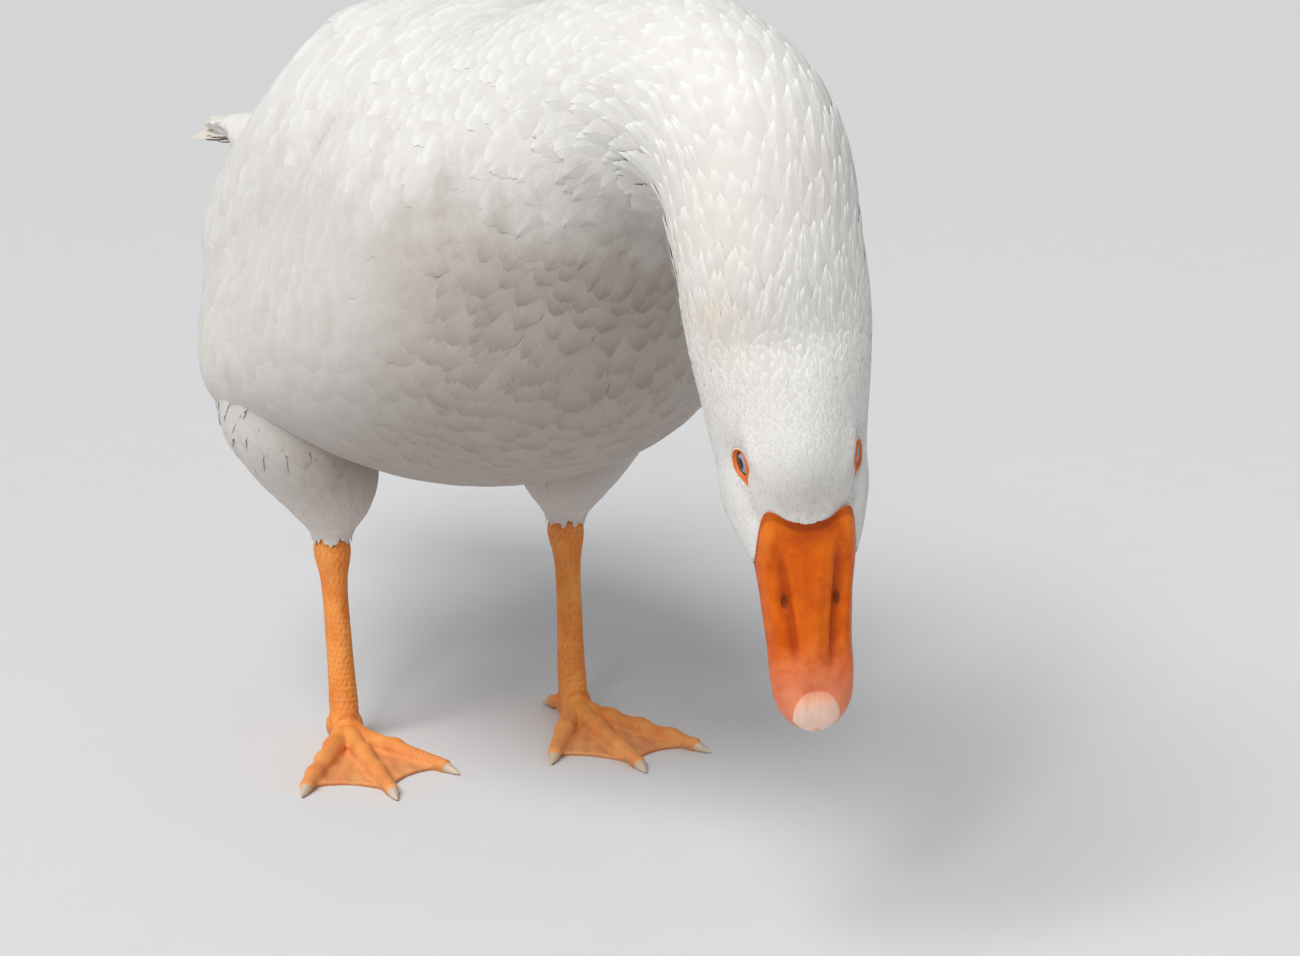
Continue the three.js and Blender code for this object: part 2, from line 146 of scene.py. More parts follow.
# Sections from the tail to the neck: y, z and x of the middle, half the width, the reach
# above and below, how low it is widest, and its turn about the vertical in degrees.
bodySections = {
    "tailTip": (350, 270, 0, 26, 1.6, 1.6, 0, 0),
    "tailEdge": (340, 270, 0, 45, 2.6, 2.2, 0, 0),
    "tailFan": (316, 269, 0, 57, 6, 4.5, 0, 0),
    "tailBase": (268, 266, 0, 49, 16, 18, 0.05, 0),
    "tailRoot": (232, 250, 0, 54, 38, 28, 0.08, 0),
    "rump": (184, 231, 0, 76, 72, 72, 0.1, 0),
    "hips": (112, 212, 0, 98, 117, 99, 0.13, 0),
    "middle": (25, 207, 0, 103, 145, 77, 0.13, 0),
    "breast": (-62, 218, 0, 101, 146, 80, 0.11, 0),
    "shoulder": (-130, 251, 0, 88, 126, 86, 0.08, 0),
    "neckRoot": (-188, 298, 2, 56, 75, 70, 0.04, 0),
    "neckRise": (-240, 322, 7, 42, 48, 46, 0, 0),
    "archTop": (-286, 325, 13, 38, 42, 34, 0, 3),
    "archFront": (-323.5, 310.5, 16, 36, 38, 34, 0, 6),
    "neckDrop": (-339.5, 282, 16.5, 35, 33, 37.5, 0, 9),
}

# Sections of the head: along the bill, across and rise of the middle, then the same radii.
headSections = {
    "nape": (-46, -3, -4, 34.5, 28.5, 37, 0),
    "occiput": (-30, -2, -7, 32.5, 30.5, 32, 0.05),
    "temple": (-14, -1.5, -8.5, 30, 31, 28, 0.1),
    "eyes": (0, -1, -9, 28, 30, 24, 0.14),
    "cheek": (14, -0.5, -9.5, 27.3, 24.5, 20.5, 0.16),
    "lores": (26, 0, -9, 24, 18.5, 16.5, 0.14),
    "gape": (42, 0, -8, 18, 11, 11, 0),
}


def slopesOf(rows, knots):
    steps = np.diff(rows, axis=0) / np.diff(knots)[:, None]
    spans = np.diff(knots)[:, None]
    inner = (steps[:-1] * spans[1:] + steps[1:] * spans[:-1]) / (spans[1:] + spans[:-1])
    return np.concatenate([steps[:1], inner, steps[-1:]])


def splineThrough(rows, knots, slopes, places):
    index = np.clip(np.searchsorted(knots, places, side="left") - 1, 0, len(rows) - 2)
    span = (knots[index + 1] - knots[index])[:, None]
    part = (places - knots[index])[:, None] / span
    near = 1 - part
    return (near * near * (1 + 2 * part) * rows[index] + part * near * near * span * slopes[index]
            + part * part * (3 - 2 * part) * rows[index + 1]
            - part * part * near * span * slopes[index + 1])


def sectionRows():
    rows = []
    for y, z, x, half, above, below, egg, turn in bodySections.values():
        angle = math.radians(-turn)
        rows.append((x, y, z, math.cos(angle), math.sin(angle), 0, half, above, below, egg))
    for along, across, rise, half, above, below, egg in headSections.values():
        rows.append((*headPoint(along, across, rise), *leftward, half, above, below, egg))
    return np.array(rows, float)


bodyRows = sectionRows()
bodySteps = np.linalg.norm(np.diff(bodyRows[:, :3], axis=0), axis=1)
bodyKnots = np.concatenate([[0], np.cumsum(bodySteps)])
sectionNames = [*bodySections, *headSections]
spineLength = bodyKnots[-1]


def lengthAt(name):
    return bodyKnots[sectionNames.index(name)]


# One row for each half millimetre of the spine: middle, side, up, then the four radii. The way
# that the sections face turns more evenly over the shoulder than the spine itself does.
calmWindow = 161


def spineTable(step=0.5):
    slopes = slopesOf(bodyRows, bodyKnots)
    slopes[:, :3] = unit(slopes[:, :3])
    places = np.arange(0, spineLength + step, step)
    values = splineThrough(bodyRows, bodyKnots, slopes, places)
    ahead = splineThrough(bodyRows, bodyKnots, slopes, places + step)[:, :3]
    behind = splineThrough(bodyRows, bodyKnots, slopes, places - step)[:, :3]
    travel = unit(ahead - behind)
    calm = [evened(travel[:, k], calmWindow) for k in range(3)]
    share = smooth(lengthAt("neckRise"), lengthAt("neckRoot"), places)[:, None]
    travel = unit(travel * (1 - share) + unit(np.stack(calm, 1)) * share)
    side = values[:, 3:6]
    side = unit(side - travel * (side * travel).sum(1)[:, None])
    return np.concatenate([values[:, :3], side, np.cross(travel, side), values[:, 6:]], 1), step


spine, spineStep = spineTable()


def tableRow(table, place):
    place = np.clip(np.asarray(place, float), 0, len(table) - 1.001)
    index = place.astype(int)
    part = (place - index)[..., None]
    return table[index] * (1 - part) + table[index + 1] * part


def sectionAt(length):
    return tableRow(spine, np.asarray(length, float) / spineStep)


def bodyPoint(length, angle, lift):
    length, angle, lift = np.broadcast_arrays(length, angle, lift)
    row = sectionAt(length)
    rise = np.sin(angle)
    reach = np.where(rise > 0, row[..., 10], row[..., 11]) + lift
    width = (row[..., 9] + lift) * np.cos(angle) * (1 - row[..., 12] * rise)
    return row[..., :3] + row[..., 3:6] * width[..., None] + row[..., 6:9] * (reach * rise)[..., None]


def bySection(table):
    lengths = [lengthAt(name) for name in table]
    return lambda length: np.interp(length, lengths, list(table.values()))


# The folded wing: a low form over the side of the back that thins towards its point.
wingForm = {"frontShift": 32, "backShift": -26, "thick": 15, "flight": 6, "edge": 3.5, "edgeFall": 2,
            "topThinning": 0.7, "skirt": 8, "hollow": 3.4}
wingFront = lengthAt("breast") + wingForm["frontShift"]
wingBack = lengthAt("tailBase") + wingForm["backShift"]


def wingPart(length):
    return (wingFront - length) / (wingFront - wingBack)


def wingLength(part):
    return wingFront + (wingBack - wingFront) * part


def wingEdges(part):
    part = np.clip(part, 0, 1)
    low = 4 + 42 * (1 - part) ** 2.6 + 9 * part ** 6
    high = 84 - 46 * part ** 5 - 22 * (1 - part) ** 6
    return np.radians(low), np.radians(high)


# The angle up from the side, the same on both sides of the body.
def sideTurn(angle):
    angle = (angle + math.pi) % fullTurn - math.pi
    return np.where(np.abs(angle) < math.pi / 2, angle, np.sign(angle) * math.pi - angle)


def wingAcross(length, angle):
    low, high = wingEdges(wingPart(length))
    return 2 * (sideTurn(angle) - low) / (high - low) - 1


def wingThickness(part, across):
    part, across = np.clip(part, 0, 1), np.clip(across, -1, 1)
    full = wingForm["flight"] + (wingForm["thick"] - wingForm["flight"]) * smooth(0.25, 0.75, 1 - part)
    ends = np.minimum(1, 3.2 * part) ** 0.8 * np.minimum(1, 5 * (1 - part) + 0.35) ** 0.5
    slope = 1 - wingForm["topThinning"] * smooth(0.1, 1, across)
    edge = wingForm["edge"] - wingForm["edgeFall"] * across
    return edge + (full - edge) * ends * slope * (1 - across ** 4)


def wingRise(length, angle):
    part, across = wingPart(length), wingAcross(length, angle)
    low, high = wingEdges(part)
    beyond = np.clip(np.abs(across) - 1, 0, None) * (high - low) / 2
    fade = 1 - smooth(0, math.radians(wingForm["skirt"]), beyond)
    fade = fade * smooth(-0.3, 0.06, part) * (1 - smooth(0.99, 1.03, part))
    return wingThickness(part, across) * fade


# How much lower the skin lies under the long feathers of the wing.
def wingHollow(length, angle):
    part, across = wingPart(length), wingAcross(length, angle)
    along = smooth(0.3, 0.5, part) * (1 - smooth(0.93, 1, part))
    return wingForm["hollow"] * along * (1 - smooth(0.8, 1, np.abs(across)))


# The feathers of the flank swell over the top of the thigh.
flankForm = {"behind": 20, "turn": -22, "lift": 12, "reach": 55, "spread": 21}


def flankRise(length, angle):
    around = np.degrees(sideTurn(angle)) - flankForm["turn"]
    return (flankForm["lift"] * bell(length - lengthAt("middle") + flankForm["behind"], flankForm["reach"])
            * bell(around, flankForm["spread"]))


# Small forms of the head: the hollow round each eye, the brow over it, the groove from the
# eye to the bill and the socket that the ball of the eye sits in.
headForm = {"hollow": 1.2, "brow": 1.5, "groove": 1.7, "socket": 5.5}
lidForm = {"open": (4.3, 3.2), "brim": (5.25, 4.1), "corner": 3.1, "cornerRise": 1.7}


# 1 on the brim of the lids, and less inside it.
def lidRing(along, rise):
    return np.hypot(along / lidForm["brim"][0], rise / lidForm["brim"][1])


def headRelief(points, length):
    strength = smooth(lengthAt("occiput"), lengthAt("temple"), length)
    for side in (-1, 1):
        along, rise, out = eyeCoords(points, side)
        facing = smooth(-10, -1, out)
        hollow = np.exp(-(((along - 1) / 9.5) ** 2 + (rise / 7.5) ** 2) ** 1.5)
        brow = bell(along + 1, 9) * bell(rise - 7.5, 3)
        groove = bell(rise + 0.5 + 0.1 * along, 3) * smooth(6, 12, along) * (1 - smooth(20, 28, along))
        fromCorner = (along - lidForm["brim"][0]) / lidForm["corner"]
        inCorner = np.hypot(fromCorner, rise / lidForm["cornerRise"])
        inSocket = 1 - smooth(0.8, 1.08, np.minimum(lidRing(along, rise), inCorner))
        change = (headForm["brow"] * brow - headForm["hollow"] * hollow - headForm["groove"] * groove
                  - headForm["socket"] * inSocket)
        points = points + eyeAxes(side)[2] * (change * facing * strength)[..., None]
    return points


def outlinePoint(length, angle, lift):
    length, angle, lift = np.broadcast_arrays(length, angle, lift)
    points = bodyPoint(length, angle, lift + wingRise(length, angle) + flankRise(length, angle))
    return headRelief(points, length)


# How far the skin lies under the tips of the coat.
coatDepth = bySection({
    "tailBase": 2.4, "breast": 2.5, "shoulder": 2.3, "neckRoot": 2, "neckRise": 1.8, "archFront": 1.6,
    "neckDrop": 1.4, "nape": 0.95, "occiput": 0.7, "temple": 0.45, "eyes": 0.35, "cheek": 0.35,
    "lores": 0.3, "gape": 0.3})

# Where the feathers end on the bill, in millimetres along it, by the angle round the bill
# from the chin (-90) over the corner of the mouth (0) to the forehead (90).
billMargin = {-90: 41.5, -60: 41, -25: 40, 0: 38.5, 12: 36, 24: 30.5, 34: 25, 42: 22, 49: 21.3,
              57: 22.8, 66: 25, 76: 26.3, 90: 26.5}
billAxisRise = -8


def marginTable():
    angles = np.arange(-110, 111)
    folded = np.where(angles > 90, 180 - angles, angles)
    return angles, evened(np.interp(folded, list(billMargin), list(billMargin.values())), 13)


marginAngles, marginValues = marginTable()


def marginAlong(across, rise):
    angle = np.degrees(np.arctan2(rise - billAxisRise, np.abs(across)))
    return np.interp(angle, marginAngles, marginValues)


# Meshes

def makeMesh(name, points, triangles, maps=None, values=None):
    mesh = bpy.data.meshes.new(name)
    mesh.vertices.add(len(points))
    mesh.vertices.foreach_set("co", ((points + frameShift) * metres).astype(np.float32).ravel())
    mesh.loops.add(triangles.size)
    mesh.loops.foreach_set("vertex_index", triangles.astype(np.int32).ravel())
    mesh.polygons.add(len(triangles))
    mesh.polygons.foreach_set("loop_start", np.arange(0, triangles.size, 3, dtype=np.int32))
    mesh.update(calc_edges=True)
    mesh.shade_smooth()
    for mapName, spots in (maps or {}).items():
        corners = spots[triangles.ravel()] if len(spots) == len(points) else spots
        layer = mesh.uv_layers.new(name=mapName)
        layer.data.foreach_set("uv", corners.astype(np.float32).ravel())
    for valueName, amounts in (values or {}).items():
        layer = mesh.attributes.new(valueName, "FLOAT", "POINT")
        layer.data.foreach_set("value", amounts.astype(np.float32))
    piece = bpy.data.objects.new(name, mesh)
    bpy.context.scene.collection.objects.link(piece)
    return piece


def signedVolume(points, triangles):
    a, b, c = (points[triangles[:, k]] for k in range(3))
    return (a * np.cross(b, c)).sum() / 6


def outward(points, triangles):
    return triangles if signedVolume(points, triangles) > 0 else triangles[:, ::-1]


# Triangles over rows of points whose last point joins the first, with the row and column
# of each corner so that an unwrap can run past the join.
def loftTriangles(rows, sides):
    row, column = (grid.ravel() for grid in gridOf(np.arange(rows - 1), np.arange(sides)))
    corner = [(row, column), (row, column + 1), (row + 1, column + 1), (row + 1, column)]
    order = [(0, 1, 2), (0, 2, 3)]
    rowOf = np.concatenate([np.stack([corner[k][0] for k in three], 1) for three in order])
    columnOf = np.concatenate([np.stack([corner[k][1] for k in three], 1) for three in order])
    return rowOf, columnOf


def closedLoft(rings):
    rows, sides = rings.shape[:2]
    rowOf, columnOf = loftTriangles(rows, sides)
    body = rowOf * sides + columnOf % sides
    edge = np.arange(sides)
    following = (edge + 1) % sides
    start, end = rows * sides, rows * sides + 1
    caps = [np.stack([np.full(sides, start), following, edge], 1),
            np.stack([np.full(sides, end), edge + (rows - 1) * sides, following + (rows - 1) * sides], 1)]
    points = np.concatenate([rings.reshape(-1, 3), rings[:1].mean(1), rings[-1:].mean(1)])
    triangles = np.concatenate([body, *caps])
    spots = np.stack([columnOf / sides, rowOf / (rows - 1)], -1).reshape(-1, 2)
    fans = [np.stack(three, 1) / sides
            for three in ((edge + 0.5, edge + 1, edge), (edge + 0.5, edge, edge + 1))]
    ends = [np.stack([fan, np.full_like(fan, level)], -1).reshape(-1, 2) for level, fan in enumerate(fans)]
    spots = np.concatenate([spots, *ends])
    if signedVolume(points, triangles) < 0:
        flip = np.arange(triangles.size).reshape(-1, 3)[:, ::-1].ravel()
        return points, triangles[:, ::-1], spots[flip]
    return points, triangles, spots


def joinMeshes(parts):
    points, triangles, start = [], [], 0
    for somePoints, someTriangles in parts:
        points.append(somePoints)
        triangles.append(someTriangles + start)
        start += len(somePoints)
    return np.concatenate(points), np.concatenate(triangles)


def evaluated(piece):
    bpy.context.view_layer.update()
    graph = bpy.context.evaluated_depsgraph_get()
    return bpy.data.meshes.new_from_object(piece.evaluated_get(graph))


def meshArrays(mesh):
    points = np.zeros(len(mesh.vertices) * 3, np.float32)
    mesh.vertices.foreach_get("co", points)
    mesh.calc_loop_triangles()
    triangles = np.zeros(len(mesh.loop_triangles) * 3, np.int32)
    mesh.loop_triangles.foreach_get("vertices", triangles)
    return points.reshape(-1, 3).astype(float) / metres - frameShift, triangles.reshape(-1, 3)


# Each place on the skin has its own spot on the unwrap: the body below, the thighs above.
unwrap = {"body": 0.86, "thighs": 0.88, "thighLong": 0.11, "thighWide": 0.48, "left": 0.01, "right": 0.51}


def bodySpot(length, angle):
    return np.stack([(angle / fullTurn) % 1, length / spineLength * unwrap["body"]], -1)


def thighSpot(turn, part, side):
    start = unwrap["left" if side > 0 else "right"]
    return np.stack([turn * unwrap["thighWide"] + start, unwrap["thighs"] + part * unwrap["thighLong"]], -1)


# Legs as rows of level ovals: z, x, y and the two radii, for the left side.
thighRows = ((206, 62, 44, 36, 62), (168, 70, 42, 38, 60), (145, 69, 38, 36, 54), (126, 64, 31, 28.5, 39),
             (111, 60, 26, 18.5, 24), (99.3, 59, 25, 10, 12.5))
shankRows = ((104, 59, 25.5, 7, 9), (99, 59, 25, 7.5, 9.5), (92, 59, 25, 8.5, 11), (80, 59, 23, 6.4, 9),
             (50, 58.5, 18, 5.8, 8), (24, 58, 14, 6.4, 8.4), (13, 58, 12, 7, 9), (6, 58, 11.5, 7.5, 9.5))


def limbTable(rows, step=0.5):
    rows = np.array(rows, float)
    knots = rows[0, 0] - rows[:, 0]
    places = np.arange(0, knots[-1] + step, step)
    return splineThrough(rows, knots, slopesOf(rows, knots), places), step


def limbSurface(rows, side):
    table, step = limbTable(rows)

    def surface(down, angle, lift):
        down, angle, lift = np.broadcast_arrays(down, angle, lift)
        row = tableRow(table, down / step)
        return np.stack([side * row[..., 1] + (row[..., 3] + lift) * np.cos(angle),
                         row[..., 2] + (row[..., 4] + lift) * np.sin(angle), row[..., 0]], -1)

    return surface


# Finishes

class Signal:
    def __init__(self, finish, socket):
        self.finish = finish
        self.socket = socket

    def __add__(self, other):
        return self.finish.maths("ADD", self, other)

    def __radd__(self, other):
        return self.finish.maths("ADD", other, self)

    def __sub__(self, other):
        return self.finish.maths("SUBTRACT", self, other)

    def __rsub__(self, other):
        return self.finish.maths("SUBTRACT", other, self)

    def __mul__(self, other):
        return self.finish.maths("MULTIPLY", self, other)

    def __rmul__(self, other):
        return self.finish.maths("MULTIPLY", other, self)

    def __truediv__(self, other):
        return self.finish.maths("DIVIDE", self, other)

    def __pow__(self, other):
        return self.finish.maths("POWER", self, other)


class Finish:
    def __init__(self, name):
        self.material = bpy.data.materials.new(name)
        self.material.use_nodes = True
        self.tree = self.material.node_tree
        self.shader = self.tree.nodes["Principled BSDF"]
        self.place = self.node("ShaderNodeTexCoord", output="Object")
        self.x, self.y, self.z = self.apart(self.place)

    def node(self, kind, settings=None, inputs=None, output=0):
        made = self.tree.nodes.new(kind)
        for setting, value in (settings or {}).items():
            setattr(made, setting, value)
        for name, value in (inputs or {}).items():
            if isinstance(value, Signal):
                self.tree.links.new(value.socket, made.inputs[name])
            else:
                made.inputs[name].default_value = value
        return Signal(self, made.outputs[output])

    def maths(self, operation, *values):
        return self.node("ShaderNodeMath", {"operation": operation}, dict(enumerate(values)))

    def size(self, value):
        return self.maths("ABSOLUTE", value)

    # 1 where the square is 0, and falling off as it grows.
    def fading(self, square):
        return self.maths("POWER", math.e, 0 - square)

    def apart(self, vector):
        made = self.tree.nodes.new("ShaderNodeSeparateXYZ")
        self.tree.links.new(vector.socket, made.inputs[0])
        return [Signal(self, socket) for socket in made.outputs]

    def step(self, low, high, value):
        return self.node("ShaderNodeMapRange", {"interpolation_type": "SMOOTHSTEP"},
                         {"Value": value, "From Min": low, "From Max": high})

    def mix(self, factor, first, second):
        return self.node("ShaderNodeMix", {"data_type": "RGBA"}, {0: factor, 6: first, 7: second}, 2)

    def noise(self, scale, detail=3.0, roughness=0.5, vector=None):
        return self.node("ShaderNodeTexNoise", inputs={
            "Vector": vector or self.place, "Scale": scale, "Detail": detail, "Roughness": roughness})

    def cells(self, scale, feature="F1"):
        return self.node("ShaderNodeTexVoronoi", {"feature": feature}, {"Vector": self.place, "Scale": scale})

    def joined(self, x, y, z):
        return self.node("ShaderNodeCombineXYZ", inputs={0: x, 1: y, 2: z})

    def stretched(self, scale):
        return self.node("ShaderNodeMapping", inputs={"Vector": self.place, "Scale": scale})

    # A value kept with the mesh, and a map of it.
    def value(self, name):
        return self.node("ShaderNodeAttribute", {"attribute_name": name}, output="Fac")

    def mapped(self, name):
        return self.apart(self.node("ShaderNodeUVMap", {"uv_map": name}))[:2]

    # Metres from the middle of the head along one of its axes.
    def headward(self, axis):
        away = self.node("ShaderNodeVectorMath", {"operation": "SUBTRACT"}, {
            0: self.place, 1: Vector((headPlace + frameShift) * metres)})
        return self.node("ShaderNodeVectorMath", {"operation": "DOT_PRODUCT"}, {0: away, 1: Vector(axis)}, 1)

    def spot(self, centre, radii):
        square = 0
        for value, middle, radius in zip((self.x, self.y, self.z), centre, radii):
            square = ((value - middle) / radius) ** 2 + square
        return self.fading(square)

    def bump(self, height, distance, strength):
        return self.node("ShaderNodeBump", inputs={
            "Height": height, "Distance": distance, "Strength": strength})

    def set(self, **sockets):
        for name, value in sockets.items():
            socket = self.shader.inputs[name.replace("_", " ")]
            if isinstance(value, Signal):
                self.tree.links.new(value.socket, socket)
            else:
                socket.default_value = value
        return self.material


def colour(red, green, blue):
    return red, green, blue, 1


# Markings shared by the skin and the coat: warm white, dust and painted shade under the breast and belly,
# painted shade under the neck, on its front and on the forehead, a cream stain on the low side of the neck
# and straw-coloured tips on wing and tail.
markings = {
    "white": colour(0.86, 0.85, 0.825),
    "shade": colour(0.74, 0.735, 0.72),
    "quillAndShade": colour(0.50, 0.47, 0.44),
    # a dark brown that stands for dust and painted shade under the breast and belly
    "dustAndShade": colour(0.245, 0.185, 0.15),
    "earth": colour(0.42, 0.27, 0.17),
    "foreheadShade": colour(0.45, 0.43, 0.42),
    "cream": colour(0.80, 0.68, 0.52),
    "straw": colour(0.78, 0.62, 0.32),
    "chestShadow": ((-0.005, -0.2, 0.245), (0.085, 0.09, 0.055)),
    "neckStain": ((-0.012, -0.338, 0.262), (0.014, 0.026, 0.034)),
    "neckFrontShade": ((0.012, -0.358, 0.312), (0.045, 0.035, 0.026)),
    "neckShadeGrey": colour(0.60, 0.575, 0.535),
    "forehead": ([*(headPoint(17, 0, 12) + frameShift) * metres], (0.02, 0.014, 0.012)),
}


def plumageColour(finish):
    mottle = finish.noise(38, 4, 0.6)
    fine = finish.noise(420, 2, 0.6)
    clouded = finish.step(0.35, 0.75, mottle) * 0.35 + fine * 0.2
    white = finish.mix(clouded, markings["white"], markings["shade"])
    level = finish.z + (mottle - 0.5) * 0.1
    body = finish.step(-0.3, -0.24, finish.y) * (1 - finish.step(-0.02, 0.2, finish.y) * 0.75)
    sides = finish.step(0.055, 0.112, finish.size(finish.x + 0.004))
    middle = 1 - sides * (finish.step(0.2, 0.25, level) * 0.35 + 0.6)
    above = finish.step(0.1, 0.14, finish.z) * 0.6 + 0.4
    # Darker towards the bottom, and most at the middle of the breast: partly dust, partly painted shade.
    low = (1 - finish.step(0.25, 0.315, level)) * 0.7 + (1 - finish.step(0.16, 0.23, level)) * 0.15
    # A painted shadow of the neck on the chest below it.
    chestShadow = finish.spot(*markings["chestShadow"]) * (mottle * 0.3 + 0.08)
    dustyAndShaded = finish.mix(low * body * middle * above + chestShadow, white, markings["dustAndShade"])
    spots = finish.step(0.62, 0.74, finish.noise(26, 2)) * (1 - finish.step(0.25, 0.29, finish.z))
    dustyAndShaded = finish.mix(spots * body * 0.3, dustyAndShaded, markings["earth"])
    # Painted shade on the forehead above the bill, where it turns down, in soft blotches.
    blotches = finish.step(0.3, 0.7, finish.noise(150, 4, 0.65)) * 0.5 + 0.5
    foreheadShade = finish.spot(*markings["forehead"]) * blotches
    dustyAndShaded = finish.mix(foreheadShade * 0.8, dustyAndShaded, markings["foreheadShade"])
    # Painted shade on the front of the neck, where it turns down.
    front = finish.spot(*markings["neckFrontShade"]) * (mottle * 0.5 + 0.25)
    dustyAndShaded = finish.mix(front, dustyAndShaded, markings["neckShadeGrey"])
    stain = finish.spot(*markings["neckStain"]) * 0.55 * finish.step(0.3, 0.6, mottle)
    stained = finish.mix(stain, dustyAndShaded, markings["cream"])
    tips = finish.step(0.22, 0.33, finish.y) * finish.step(0.2, 0.26, finish.z)
    return finish.mix(tips * finish.step(0.35, 0.7, mottle) * 0.5, stained, markings["straw"])


def makePlumage():
    finish = Finish("plumage")
    across, along = finish.mapped("vane")
    tone, tip = finish.value("tone"), finish.value("tip")
    barb = along * 100 - finish.size(across) * 80
    barbs = finish.noise(1, 2, 0.6, finish.joined(barb * 2.6, across * 45, tone * 90))
    base = plumageColour(finish)
    # Each feather is darker towards its root, where the next row covers it: painted shade between the rows.
    # Some feathers are also darker at random by their tone.
    rooted = (1 - finish.step(0.66, 0.98, tip)) * 0.34 + finish.step(0.4, 1, tone) * 0.1
    shaded = finish.mix(rooted + finish.step(0.55, 0.8, barbs) * 0.06, base, markings["quillAndShade"])
    stem = 1 - finish.step(0.0015, 0.005, finish.size(across))
    height = barbs * 0.8 + stem * 0.25
    finish.set(Base_Color=shaded, Roughness=0.82, Normal=finish.bump(height, 0.0003, 0.7),
               Specular_IOR_Level=0.25, Sheen_Weight=0.1, Sheen_Roughness=0.5)
    return finish.material


def makeSkinFinish():
    finish = Finish("skinUnderPlumage")
    down = finish.cells(700) * 0.6 + finish.noise(1500, 3, 0.7)
    finish.set(Base_Color=plumageColour(finish), Roughness=0.85, Normal=finish.bump(down, 0.0004, 0.6),
               Specular_IOR_Level=0.2)
    return finish.material


plumage = makePlumage()
skinFinish = makeSkinFinish()


def finishPiece(piece, material, slotName, *nodes):
    piece.data.materials.clear()
    piece.data.materials.append(material)
    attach(piece, "root")
    if nodes:
        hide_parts(*nodes)


# Skin

skinForm = {"sides": 180, "stub": 26, "thighInset": 3, "thighLong": 106, "underBill": 0.17,
            "paces": (("tailBase", 4), ("neckRoot", 2.8), ("nape", 1.2), ("gape", 1.2))}


def tuckUnderBill(points, length):
    along, across, rise = headCoords(points)
    past = smooth(-1.5, 2.5, along - marginAlong(across, rise)) * (length > lengthAt("temple"))
    share = 1 - skinForm["underBill"] * past
    tucked = headPoint(along, across * share, billAxisRise + (rise - billAxisRise) * share)
    return np.where((past > 0)[..., None], tucked, points)


def makeSkin():
    stops = skinForm["paces"]
    lengths = [lengthAt("tailBase") - skinForm["stub"] / 2]
    for (name, pace), (following, _) in zip(stops[:-1], stops[1:]):
        start, end = lengths[-1], lengthAt(following)
        lengths.extend(np.linspace(start, end, int((end - start) / pace) + 1)[1:])
    lengths = np.array(lengths)
    length, angle = gridOf(lengths, turns(skinForm["sides"]))
    points = outlinePoint(length, angle, -coatDepth(length) - wingHollow(length, angle))
    fromEnd = np.clip((lengths - lengths[0]) / skinForm["stub"], 0.02, 1)
    share = (1 - (1 - fromEnd) ** 2) ** 0.5
    middle = sectionAt(lengths)[:, None, :3]
    points = middle + (points - middle) * share[:, None, None]
    body, triangles, spots = closedLoft(tuckUnderBill(points, length))
    levels = lengths / spineLength * unwrap["body"]
    spots[:, 1] = np.interp(spots[:, 1], np.linspace(0, 1, len(lengths)), levels)
    skin = makeMesh("skin", body, triangles, {"OFBake": spots})
    for _, side in bothSides:
        down, turn = gridOf(np.linspace(0, skinForm["thighLong"], 54), turns(48))
        inset = skinForm["thighInset"] * (1 - 0.75 * smooth(60, skinForm["thighLong"], down))
        thigh, triangles, spots = closedLoft(limbSurface(thighRows, side)(down, turn, -inset))
        cutter = makeMesh("thighForm", thigh, triangles, {"OFBake": thighSpot(*spots.T, side)})
        join = skin.modifiers.new("join", "BOOLEAN")
        join.operation, join.solver, join.object = "UNION", "EXACT", cutter
        joined = evaluated(skin)
        skin.modifiers.clear()
        skin.data = joined
        bpy.data.objects.remove(cutter)
    skin.data.shade_smooth()
    finishPiece(skin, skinFinish, "plumage", "tail", "trunk", "neck_base", "neck_arch", "neck_upper", "head",
                "wing_left", "wing_right", "thigh_left", "thigh_right")


makeSkin()
print("skin made")


# Feathers

# One feather in its own frame: x across in half widths, y from root to tip, z in half widths.
# Barbs slant from the stem to the edge, and the edge is frayed and split here and there.
# Each row has six points: the edges, the stem above and below, and one between on each side.
rowPoints = 6


def vaneTemplate(seed, rows, outline, reach=0.42, fray=0.12, splits=2, camber=0.14, thick=0.05):
    draw = np.random.default_rng(seed)
    part = np.arange(1, rows + 1) / (rows + 1)
    edge = 1 - (1 - part) ** 1.45
    half = outline(edge)
    stem = np.maximum.accumulate(np.clip(edge - reach * half, 0.01, 0.97)) + 0.001 * np.arange(rows)
    flat = np.zeros(rows)
    arch = camber * (1 - 0.65 * part ** 3)
    columns = [np.stack([flat, stem, arch], -1)]
    edges = []
    for side in (-1, 1):
        stretch = 1 + fray * (draw.random(rows) - 0.5) + fray * 0.4 * (-1) ** np.arange(rows)
        stretch[draw.choice(np.arange(2, rows), splits, replace=False)] *= 0.86
        middle = np.stack([side * half * 0.55, stem + (edge - stem) * 0.5, arch * 0.75], -1)
        tip = np.stack([side * half * stretch, stem + (edge - stem) * stretch, flat], -1)
        columns.append(middle)
        edges.append(tip)
    keel = np.stack([flat, stem, arch - thick], -1)
    grid = np.stack([edges[0], columns[1], columns[0], columns[2], edges[1], keel], 1)
    points = np.concatenate([grid.reshape(-1, 3), [(0, 0, 0), (0, 1, 0)]])
    corner = np.arange(rowPoints)
    following = (corner + 1) % rowPoints
    rootEnd, tipEnd = (np.full(rowPoints, rows * rowPoints + k) for k in (0, 1))
    triangles = []
    for row in range(rows - 1):
        a, b = row * rowPoints, (row + 1) * rowPoints
        triangles.append(np.stack([a + corner, a + following, b + following], 1))
        triangles.append(np.stack([a + corner, b + following, b + corner], 1))
    last = (rows - 1) * rowPoints
    triangles.append(np.stack([rootEnd, following, corner], 1))
    triangles.append(np.stack([last + corner, last + following, tipEnd], 1))
    return points, outward(points, np.concatenate(triangles))


